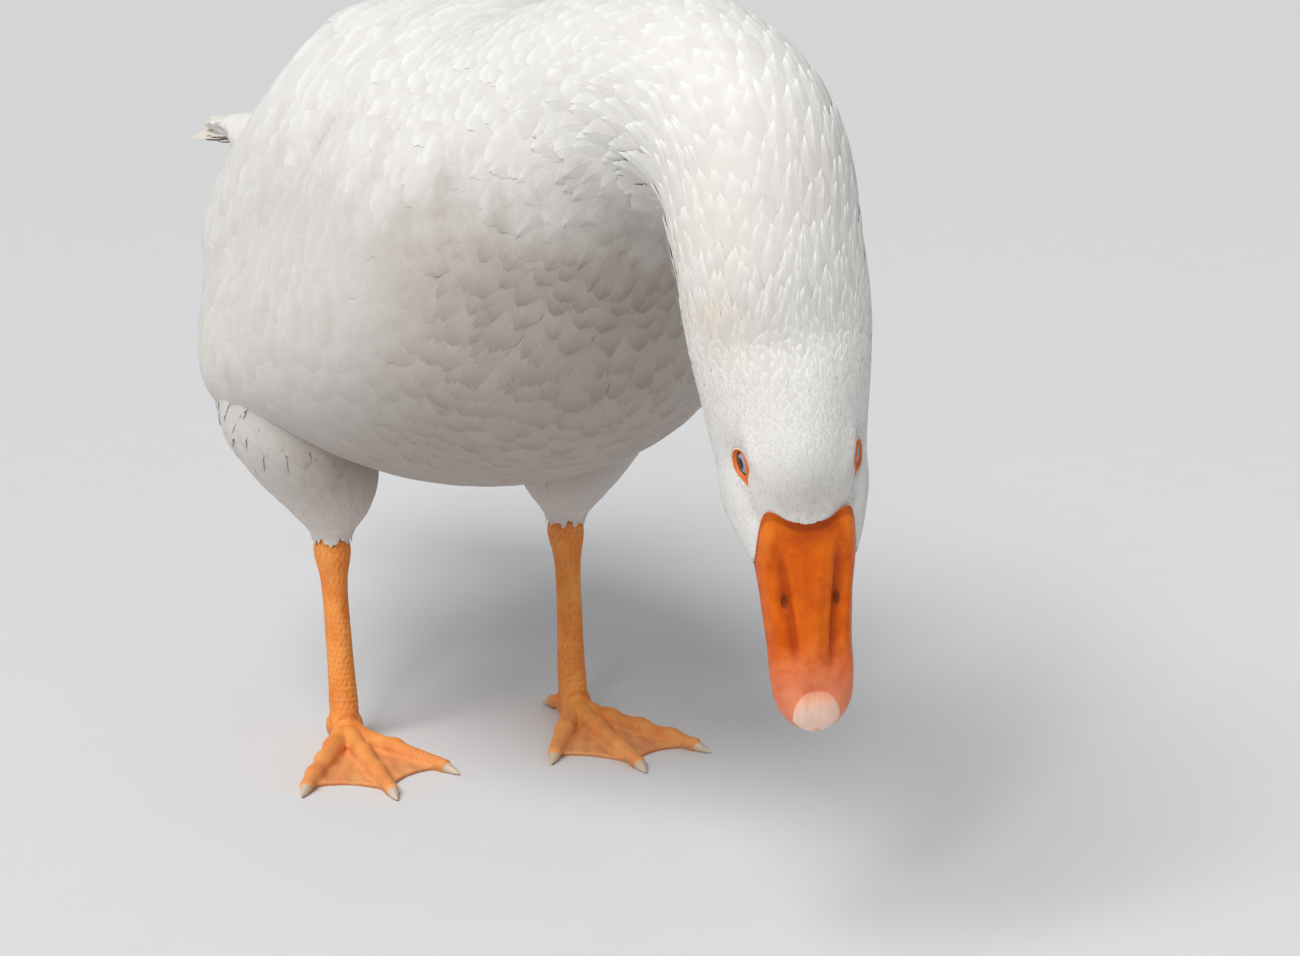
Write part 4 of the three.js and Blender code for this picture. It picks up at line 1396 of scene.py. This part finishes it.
def billTable():
    rows = np.array(billRows, float)
    places = np.arange(10, 103, 0.25)
    values = splineThrough(rows[:, 1:], rows[:, 0], slopesOf(rows[:, 1:], rows[:, 0]), places)
    tip, start, thinFrom = (billForm[key] for key in ("tip", "rounding", "thinFrom"))
    rounded = np.clip(1 - ((places - start) / (tip - start)) ** 2, 0, 1) ** 0.5
    values[:, 0] = np.where(places > start, billForm["tipHalf"] * rounded, values[:, 0])
    middle = (values[:, 1] + values[:, 3]) / 2
    thin = np.clip(1 - ((places - thinFrom) / (tip + 0.4 - thinFrom)) ** 2, 0, 1) ** 0.5
    for column in (1, 3):
        thinned = middle + (values[:, column] - middle) * thin
        values[:, column] = np.where(places > thinFrom, thinned, values[:, column])
    return places, values


billPlaces, billValues = billTable()


def billAt(along):
    return [np.interp(along, billPlaces, billValues[:, k]) for k in range(4)]


# Knobs, valleys and ridges of the upper bill, in millimetres.
billRelief = {"knob": 2.9, "dip": 0.7, "valley": 2.3, "ridge": 0.9, "side": 0.8, "nostril": 2.6, "flare": 0.5}


def reliefOf(along, side):
    base = 1 - smooth(26, 46, along)
    knobs = base * bell(side - 0.76, 0.19)
    fromBase = smooth(27, 42, along) * (1 - smooth(66, 84, along))
    valley = bell(side - 0.52 - 0.004 * (52 - along), 0.15) * fromBase
    shoulder = bell(side - 0.86, 0.1) * smooth(34, 46, along) * (1 - smooth(80, 92, along))
    ridge = bell(side, 0.24) * smooth(34, 50, along) * (1 - smooth(78, 90, along))
    ripple = 0.16 * np.sin(side * 26 + 0.1 * along) * fromBase * (1 - smooth(0.7, 0.9, side))
    dip = base * bell(side, 0.35)
    return (billRelief["knob"] * knobs - billRelief["dip"] * dip - billRelief["valley"] * valley
            + billRelief["side"] * shoulder + billRelief["ridge"] * ridge + ripple)


# The outer surface of the upper bill by place along it and angle from the left edge of the mouth.
def upperBill(along, angle):
    half, top, mouth, _ = billAt(along)
    across = np.cos(angle)
    spread = np.sign(across) * np.abs(across) ** billForm["square"]
    rise = np.sin(angle) ** 0.92
    side = np.abs(across)
    place, level = billForm["nostril"]
    nostril = bell(along - place, 4.4) * bell(side - level, 0.13)
    change = reliefOf(along, side) - billRelief["nostril"] * nostril ** 1.5
    flare = billRelief["flare"] * bell(rise, 0.16) * smooth(40, 60, along)
    width = half * spread + (0.55 * change * spread) + np.sign(across) * flare
    return headPoint(along, width, mouth + (top - mouth + change) * rise)


def startAlong(angle, upper):
    along = np.full(angle.shape, 30.0)
    for _ in range(6):
        half, top, mouth, bottom = billAt(along)
        rise = mouth + ((top if upper else bottom) - mouth) * np.sin(angle)
        along = marginAlong(half * np.cos(angle), rise) - billForm["overlap"]
    return along


def marginDistance(points):
    along, across, rise = headCoords(points)
    return np.clip((along - marginAlong(across, rise)) / 20, 0, 1)


# The inner face of either half of the bill, from one edge of the mouth to the other.
def billInside(along, count, narrower, least, level, arch):
    edges = np.linspace(along[:, -1], along[:, 0], count + 2, axis=1)[:, 1:-1]
    across = np.linspace(-1, 1, count + 2)[1:-1]
    half, _, mouth, _ = billAt(edges)
    half = np.maximum(half - narrower, least)
    return headPoint(edges, half * across * 0.97, mouth + level + arch * (1 - across ** 4))


def makeUpperBill():
    steps, sides = 110, 72
    angle = np.linspace(0, math.pi, sides)
    start = startAlong(angle, True)
    part = (1 - np.cos(np.linspace(0, math.pi, steps))) / 2
    part = 0.5 * part + 0.5 * np.linspace(0, 1, steps)
    along = start[None] + (billForm["tip"] - start[None]) * part[:, None]
    outer = upperBill(along, np.broadcast_to(angle, along.shape))
    inner = billInside(along, 14, narrower=0, least=0, level=0, arch=1.6)
    points, triangles, _ = closedLoft(np.concatenate([outer, inner], 1))
    relief = np.zeros((steps, sides + inner.shape[1]))
    relief[:, :sides] = reliefOf(along, np.abs(np.cos(angle))[None])
    relief = np.concatenate([relief.ravel(), [0, 0]])
    piece = makeMesh("billUpper", points, triangles, None, {"edge": marginDistance(points), "relief": relief})
    finishPiece(piece, billFinish, "bill", "bill_upper")


def makeLowerBill():
    steps, sides = 90, 40
    angle = np.linspace(0, math.pi, sides)
    start = startAlong(angle, False)
    along = start[None] + (billForm["tip"] - 1.2 - start[None]) * np.linspace(0, 1, steps)[:, None] ** 0.9
    half, _, mouth, bottom = billAt(along)
    half = np.maximum(half - billForm["lowerIn"], 0.2)
    turn = np.broadcast_to(angle, along.shape)
    hollow = 1 - 0.14 * bell(np.cos(turn), 0.4) * (1 - smooth(80, 92, along))
    rise = mouth - billForm["gap"] + (bottom - mouth + billForm["gap"]) * np.sin(turn) ** 0.8 * hollow
    outer = headPoint(along, half * np.sign(np.cos(turn)) * np.abs(np.cos(turn)) ** 0.9, rise)
    inner = billInside(along, 12, billForm["lowerIn"], 0.2, level=-billForm["gap"], arch=-1.2)
    points, triangles, _ = closedLoft(np.concatenate([outer, inner], 1))
    piece = makeMesh("billLower", points, triangles, None, {
        "edge": marginDistance(points), "relief": np.zeros(len(points))})
    finishPiece(piece, billFinish, "bill", "bill_lower")


nailForm = {"half": 8.8, "raised": 0.7}


def makeNail():
    steps, sides = 36, 40
    along = np.linspace(billForm["nail"], billForm["tip"] + 0.1, steps)
    half, top, mouth, _ = billAt(along)
    reach = nailForm["half"] * np.clip(1 - ((97 - along) / 9.6) ** 2, 0.0004, 1) ** 0.42
    reach = np.where(along > 97, nailForm["half"], reach)
    limit = np.minimum(reach / np.maximum(half, 0.3), 0.93)
    across = np.linspace(-1, 1, sides)
    rings = []
    for row in range(steps):
        share = across * limit[row]
        angle = np.arccos(np.clip(np.sign(share) * np.abs(share) ** (1 / billForm["square"]), -1, 1))
        place = np.full(sides, along[row])
        surface = upperBill(place, angle)
        edge = (1 - np.abs(across) ** 6) * min(1, 0.35 + row / 5)
        raised = surface + crownward * (0.04 + nailForm["raised"] * edge * smooth(0, 14, row + 1))[:, None]
        under = surface - crownward * 1.6
        hook = (billward * (0.5 * smooth(98, 102, place))[:, None]
                - crownward * (1.2 * smooth(99, 102.3, place))[:, None])
        rings.append(np.concatenate([raised + hook, (under + hook)[::-1]]))
    points, triangles, _ = closedLoft(np.stack(rings))
    piece = makeMesh("billNail", points, triangles)
    finishPiece(piece, nailFinish, "nail", "bill_nail")


# Small ridges along the inner edge of the upper bill, which show where the mouth opens.
def makeRidges():
    parts = []
    for side in (-1, 1):
        for along in np.arange(43, 88, 1.5):
            half, _, mouth, _ = (float(value) for value in billAt(along))
            base = [(along - 0.55, -0.9), (along + 0.55, -0.9), (along + 0.55, 0.9), (along - 0.55, 0.9)]
            points = [headPoint(a, side * (half - 1.6 + d * 0.6), mouth + 1.2) for a, d in base]
            points += [headPoint(along + (a - along) * 0.4, side * (half - 1.15 + d * 0.25), mouth - 0.9)
                       for a, d in base]
            triangles = np.array([(0, 1, 2), (0, 2, 3), (4, 6, 5), (4, 7, 6), (0, 4, 5), (0, 5, 1), (1, 5, 6),
                                  (1, 6, 2), (2, 6, 7), (2, 7, 3), (3, 7, 4), (3, 4, 0)])
            points = np.array(points)
            parts.append((points, outward(points, triangles)))
    piece = makeMesh("billRidges", *joinMeshes(parts))
    finishPiece(piece, nailFinish, "nail")


def makeBillFinish():
    finish = Finish("bill")
    along, across, rise = (finish.headward(axis) for axis in (billward, leftward, crownward))
    streaks = finish.noise(1, 4, 0.6, finish.joined(along * 120, across * 900, rise * 700))
    clouds = finish.noise(120, 3, 0.55)
    orange = finish.mix(finish.step(0.3, 0.7, clouds), colour(0.54, 0.078, 0.001), colour(0.68, 0.13, 0.002))
    # Lighter orange on the knobs and ridges is a painted highlight; darker orange in the valleys is painted
    # shade.
    relief = finish.value("relief")
    raised = finish.mix(finish.step(0.4, 2.6, relief) * 0.5, orange, colour(0.78, 0.22, 0.025))
    sunk = finish.mix((1 - finish.step(-2.2, -0.1, relief)) * 0.75, raised, colour(0.36, 0.042, 0.001))
    streaked = finish.mix(finish.step(0.5, 0.8, streaks) * 0.4, sunk, colour(0.44, 0.06, 0.002))
    # A thin dark line along the feathered margin, and painted shade below the margin over the middle of the
    # bill.
    edge = finish.value("edge")
    middle = 1 - finish.step(0.007, 0.014, finish.size(across))
    rim = (1 - finish.step(0.02, 0.1, edge)) * 0.55 + (1 - finish.step(0.05, 0.5, edge)) * middle * 0.35
    rimLineAndShade = finish.mix(rim, streaked, colour(0.26, 0.034, 0.001))
    tipPink = finish.step(0.066, 0.1, along + (clouds - 0.5) * 0.02) * 0.62
    pinked = finish.mix(tipPink, rimLineAndShade, colour(0.80, 0.33, 0.22))
    # Painted shade inside the nostril.
    hole = finish.fading(((along - 0.053) / 0.0036) ** 2 + ((finish.size(across) - 0.0098) / 0.0016) ** 2)
    hole = hole * finish.step(-0.012, -0.008, rise)
    nostrilShade = finish.mix(finish.step(0.35, 0.75, hole) * 0.85, pinked, colour(0.14, 0.03, 0.008))
    pits = finish.cells(1500)
    height = streaks * 0.8 + clouds * 0.6 + pits * 0.25
    finish.set(Base_Color=nostrilShade, Roughness=0.30 + streaks * 0.22, Normal=finish.bump(height, 0.0003, 0.55),
               Specular_IOR_Level=0.15)
    return finish.material


def makeNailFinish():
    finish = Finish("nail")
    lines = finish.noise(1, 4, 0.6, finish.stretched((500, 500, 90)))
    along = finish.headward(billward)
    horn = finish.mix(lines, colour(0.74, 0.44, 0.34), colour(0.86, 0.64, 0.52))
    root = 1 - finish.step(0.086, 0.097, along + (lines - 0.5) * 0.004)
    rooted = finish.mix(root, horn, colour(0.72, 0.26, 0.13))
    finish.set(Base_Color=rooted, Roughness=0.34, Normal=finish.bump(lines, 0.0002, 0.5), Coat_Weight=0.2)
    return finish.material


billFinish, nailFinish = makeBillFinish(), makeNailFinish()
makeUpperBill()
makeLowerBill()
makeNail()
makeRidges()
print("bill made")


# Legs and feet

footForm = {"x": 58, "y": 11, "web": 1.9, "webDip": 0.76, "voxel": 0.9, "scale": 3.1, "relief": 0.55}
toes = {
    "outer": {"angle": 27, "long": 82, "joints": (0.3, 0.55, 0.8)},
    "middle": {"angle": 1, "long": 91, "joints": (0.38, 0.7)},
    "inner": {"angle": -26, "long": 72, "joints": (0.5,)},
    "hind": {"angle": 196, "long": 19, "joints": ()},
}


def toeDirection(toe, side):
    angle = math.radians(toe["angle"])
    return np.array((side * math.sin(angle), -math.cos(angle), 0.0))


def footCentre(side):
    return np.array((side * footForm["x"], footForm["y"], 0.0))


def toePlace(name, side, part):
    toe, hind = toes[name], name == "hind"
    part = np.asarray(part, float)
    swell = sum(bell(part - joint, 0.06) for joint in toe["joints"])
    radius = (3.4 if hind else 5.2 - 2 * part) + 0.8 * swell
    start = 8.5 if hind else 7
    height = start - 5.2 * part if hind else np.maximum(radius * 0.78, start - 16 * part)
    run = toeDirection(toe, side) * (toe["long"] * part)[..., None]
    return footCentre(side) + run + np.stack([height * 0, height * 0, height], -1), radius + height * 0


def tube(middles, radii, sides):
    travel = unit(np.gradient(middles, axis=0))
    across = unit(np.cross((0, 0, 1), travel))
    up = np.cross(travel, across)
    turn = fullTurn * (np.arange(sides) + 0.5) / sides
    rings = (middles[:, None] + across[:, None] * (radii[:, None] * np.cos(turn))[..., None]
             + up[:, None] * (radii[:, None] * np.sin(turn))[..., None])
    return closedLoft(rings)[:2]


def webOutline(side):
    def tip(name, part):
        return toePlace(name, side, part)[0][:2]

    def arc(first, bend, last):
        part = np.linspace(0, 1, 14)[:, None]
        return (1 - part) ** 2 * first + 2 * part * (1 - part) * bend + part ** 2 * last

    dip = footForm["webDip"]
    outer, middle, inner = tip("outer", 0.94), tip("middle", 0.94), tip("inner", 0.94)
    bends = [(tip("middle", dip) + tip(name, dip)) / 2 for name in ("outer", "inner")]
    return np.concatenate([tip("middle", -0.06)[None], arc(outer, bends[0], middle),
                           arc(middle, bends[1], inner)[1:]])


def webForm(side):
    outline = webOutline(side)
    rings = np.stack([np.concatenate([outline, np.full((len(outline), 1), level)], 1)
                      for level in (0.1, footForm["web"])])
    count = len(outline)
    points = rings.reshape(-1, 3)
    fan = np.arange(1, count - 1)
    bottom = np.stack([np.zeros_like(fan), fan, fan + 1], 1)
    edge = np.arange(count)
    following = (edge + 1) % count
    walls = np.concatenate([np.stack([edge, edge + count, following + count], 1),
                            np.stack([edge, following + count, following], 1)])
    triangles = np.concatenate([bottom, bottom[:, ::-1] + count, walls])
    return points, outward(points, triangles)


# Height of a field of six-sided scales: 1 on a scale and 0 in the grooves between them.
def scaleField(u, v, cell):
    best = np.full(u.shape, 1e9)
    second = np.full(u.shape, 1e9)
    rowHeight = cell * 0.866
    row = np.round(v / rowHeight)
    for rowShift in (-1, 0, 1):
        line = row + rowShift
        shift = np.where(line % 2 == 0, 0, cell / 2)
        column = np.round((u - shift) / cell)
        for columnShift in (-1, 0, 1):
            index = column + columnShift
            jitter = np.sin(index * 12.99 + line * 78.23) * 0.16 * cell
            away = np.hypot(u - index * cell - shift - jitter, v - line * rowHeight - jitter * 0.6)
            second = np.minimum(second, np.maximum(best, away))
            best = np.minimum(best, away)
    return smooth(0, 0.3 * cell, second - best)


def legRelief(points, normals, side):
    table, step = limbTable(shankRows)
    index = np.clip(((shankRows[0][0] - points[:, 2]) / step).astype(int), 0, len(table) - 1)
    axis = table[index]
    back = (points[:, 1] - axis[:, 2]) / axis[:, 4]
    angle = np.arctan2(back, side * (points[:, 0] - side * axis[:, 1]) / axis[:, 3])
    shank = smooth(12, 20, points[:, 2])
    scales = scaleField(angle * 7.6, points[:, 2], footForm["scale"])
    field = shank * scales
    toeWeight = np.zeros(len(points))
    toeScales = np.zeros(len(points))
    for name, toe in toes.items():
        direction = toeDirection(toe, side)
        away = points - footCentre(side)
        run = away @ direction
        off = np.abs(away @ np.array((-direction[1], direction[0], 0)))
        weight = bell(off, 4.2) * (run > 0) * (run < toe["long"] + 3)
        plates = 1 - bell((run / 2.5 + 0.5) % 1 - 0.5, 0.13)
        stronger = weight > toeWeight
        toeScales = np.where(stronger, plates, toeScales)
        toeWeight = np.maximum(toeWeight, weight)
    top = smooth(-0.2, 0.4, normals[:, 2]) * (1 - shank)
    field = field + top * toeWeight * toeScales
    fan = np.arctan2(points[:, 0] - side * footForm["x"], -(points[:, 1] - footForm["y"] - 30))
    creases = np.sin(fan * 70 + 3 * np.sin(points[:, 1] * 0.09)) * 0.5
    creases = creases + scaleField(points[:, 0], points[:, 1], 2.2)
    field = field + top * (1 - toeWeight) * creases * 0.5
    return field * smooth(0.6, 1.6, points[:, 2])


def vertexNormals(points, triangles):
    a, b, c = (points[triangles[:, k]] for k in range(3))
    faces = np.cross(b - a, c - a)
    normals = np.zeros_like(points)
    for k in range(3):
        np.add.at(normals, triangles[:, k], faces)
    return unit(normals + 1e-12)


def makeLeg(name, side):
    surface = limbSurface(shankRows, side)
    down, turn = gridOf(np.linspace(0, 98, 60), turns(40))
    parts = [closedLoft(surface(down, turn, 0.0))[:2], webForm(side)]
    for toeName in toes:
        middles, radii = toePlace(toeName, side, np.linspace(0, 1.0, 40))
        end = middles[-1] + unit(middles[-1] - middles[-2]) * np.array([[0.9], [1.6]])
        middles = np.concatenate([middles, end])
        radii = np.concatenate([radii, radii[-1] * np.array([0.8, 0.45])])
        parts.append(tube(middles, radii, 20))
    heel = np.linspace(0.05, math.pi - 0.05, 24)
    middles = np.stack([np.full(24, side * footForm["x"]), footForm["y"] + 1 + 10.3 * np.cos(heel),
                        np.full(24, 7.0)], -1)
    parts.append(tube(middles, 9 * np.sin(heel), 24))
    rough = makeMesh("legRough", *joinMeshes(parts))
    remesh = rough.modifiers.new("remesh", "REMESH")
    remesh.mode, remesh.voxel_size = "VOXEL", footForm["voxel"] * metres
    smoothing = rough.modifiers.new("smooth", "SMOOTH")
    smoothing.factor, smoothing.iterations = 0.5, 5
    points, triangles = meshArrays(evaluated(rough))
    bpy.data.objects.remove(rough)
    normals = vertexNormals(points, triangles)
    scales = legRelief(points, normals, side)
    points = points + normals * (footForm["relief"] * (scales - 0.35))[:, None]
    points[:, 2] = np.where(points[:, 2] < 0.75, 0, points[:, 2])
    piece = makeMesh(f"leg{name}", points, triangles, None, {"scale": scales})
    finishPiece(piece, legFinish, "leg", f"shank_{name.lower()}", f"foot_{name.lower()}")
    print(f"leg{name}", len(triangles), "triangles")


clawForm = {"long": 9, "radius": 2.5}


def makeClaws(name, side):
    parts = []
    for toeName in toes:
        root = toePlace(toeName, side, 1.0)[0]
        forward = toeDirection(toes[toeName], side)
        part = np.linspace(-0.12, 1, 16)
        drop = (root[2] - 1.1) * smooth(-0.3, 1.15, part) * 1.05
        middles = root + forward * (clawForm["long"] * part)[:, None] - np.array((0, 0, 1)) * drop[:, None]
        radii = clawForm["radius"] * (1 - 0.86 * np.clip(part, 0, 1) ** 1.5)
        points, triangles = tube(middles, radii, 18)
        points[:, 2] = np.maximum(points[:, 2], 0.02)
        parts.append((points, triangles))
    piece = makeMesh(f"claws{name}", *joinMeshes(parts))
    finishPiece(piece, clawFinish, "claw", *(f"claw_{name.lower()}_{toeName}" for toeName in toes))


def makeLegFinish():
    finish = Finish("leg")
    clouds = finish.noise(60, 4, 0.6)
    grain = finish.cells(1100, "DISTANCE_TO_EDGE")
    orange = finish.mix(finish.step(0.3, 0.72, clouds), colour(0.78, 0.22, 0.03), colour(0.90, 0.36, 0.07))
    scale = finish.value("scale")
    grooved = finish.mix((1 - finish.step(0.05, 0.6, scale)) * 0.5, orange, colour(0.50, 0.15, 0.03))
    worn = finish.mix(finish.step(0.45, 0.8, finish.noise(240, 3)) * 0.35, grooved, colour(0.62, 0.30, 0.14))
    low = 1 - finish.step(0.0, 0.012, finish.z)
    pale = finish.mix(low * 0.25, worn, colour(0.85, 0.5, 0.3))
    height = finish.step(0, 0.12, grain) * 0.7 + clouds * 0.3
    finish.set(Base_Color=pale, Roughness=0.5 + clouds * 0.2, Normal=finish.bump(height, 0.0002, 0.5),
               Specular_IOR_Level=0.4)
    return finish.material


def makeClawFinish():
    finish = Finish("claw")
    lines = finish.noise(1, 3, 0.6, finish.stretched((400, 120, 500)))
    horn = finish.mix(lines, colour(0.46, 0.34, 0.24), colour(0.72, 0.60, 0.46))
    finish.set(Base_Color=horn, Roughness=0.4, Normal=finish.bump(lines, 0.0002, 0.4))
    return finish.material


legFinish, clawFinish = makeLegFinish(), makeClawFinish()
for name, side in bothSides:
    makeLeg(name, side)
    makeClaws(name, side)


# Floor, lights and camera

def makeFloor():
    corners = np.array([(-20, -20, 0), (20, -20, 0), (20, 20, 0), (-20, 20, 0)], float) / metres - frameShift
    floor = makeMesh("floor", corners, np.array([(0, 1, 2), (0, 2, 3)]))
    finish = Finish("floorPaint")
    grain = finish.noise(30, 3)
    paint = finish.mix(grain * 0.3, colour(0.70, 0.70, 0.71), colour(0.64, 0.64, 0.65))
    finish.set(Base_Color=paint, Roughness=0.7)
    floor.data.materials.append(finish.material)


def hangLamp(name, kind, place, target, power, tint, **settings):
    lamp = bpy.data.lights.new(name, kind)
    lamp.energy, lamp.color = power, tint
    for setting, value in settings.items():
        setattr(lamp, setting, value)
    holder = bpy.data.objects.new(name, lamp)
    holder.location = place
    holder.rotation_euler = (Vector(target) - Vector(place)).to_track_quat("-Z", "Y").to_euler()
    bpy.context.scene.collection.objects.link(holder)


studio = {"worldPower": 0.43, "sunPower": 2.25, "fillPower": 1.5, "sparkPower": 9}


def makeStudio():
    world = bpy.data.worlds.new("studio")
    world.use_nodes = True
    world.node_tree.nodes["Background"].inputs[0].default_value = colour(0.96, 0.98, 1.0)
    world.node_tree.nodes["Background"].inputs[1].default_value = studio["worldPower"]
    bpy.context.scene.world = world
    hangLamp("keyLight", "SUN", (-0.85, -0.55, 1.35), (0, 0, 0), studio["sunPower"], (1, 0.99, 0.97),
             angle=math.radians(35))
    hangLamp("fillLamp", "AREA", (0.6, -2.2, 1.0), (0, 0, 0.2), studio["fillPower"], (1, 1, 1), size=1.4)
    hangLamp("sparkLamp", "AREA", (-1.3, -1.9, 1.5), (0, -0.3, 0.2), studio["sparkPower"],
             (1, 0.98, 0.95), size=0.3)
    bpy.context.scene.view_settings.view_transform = "Standard"


cameraForm = {"place": (-0.4055, -1.3727, 0.4335), "azimuth": 20, "pitch": 12.1, "lens": 85, "sensor": 36}


def makeCamera():
    data = bpy.data.cameras.new("camera")
    data.lens, data.sensor_width = cameraForm["lens"], cameraForm["sensor"]
    camera = bpy.data.objects.new("camera", data)
    camera.location = Vector(cameraForm["place"]) + Vector(frameShift * metres)
    camera.rotation_euler = (math.radians(90 - cameraForm["pitch"]), 0, -math.radians(cameraForm["azimuth"]))
    bpy.context.scene.collection.objects.link(camera)
    bpy.context.scene.camera = camera


makeFloor()
makeStudio()
makeCamera()
print("studio set")
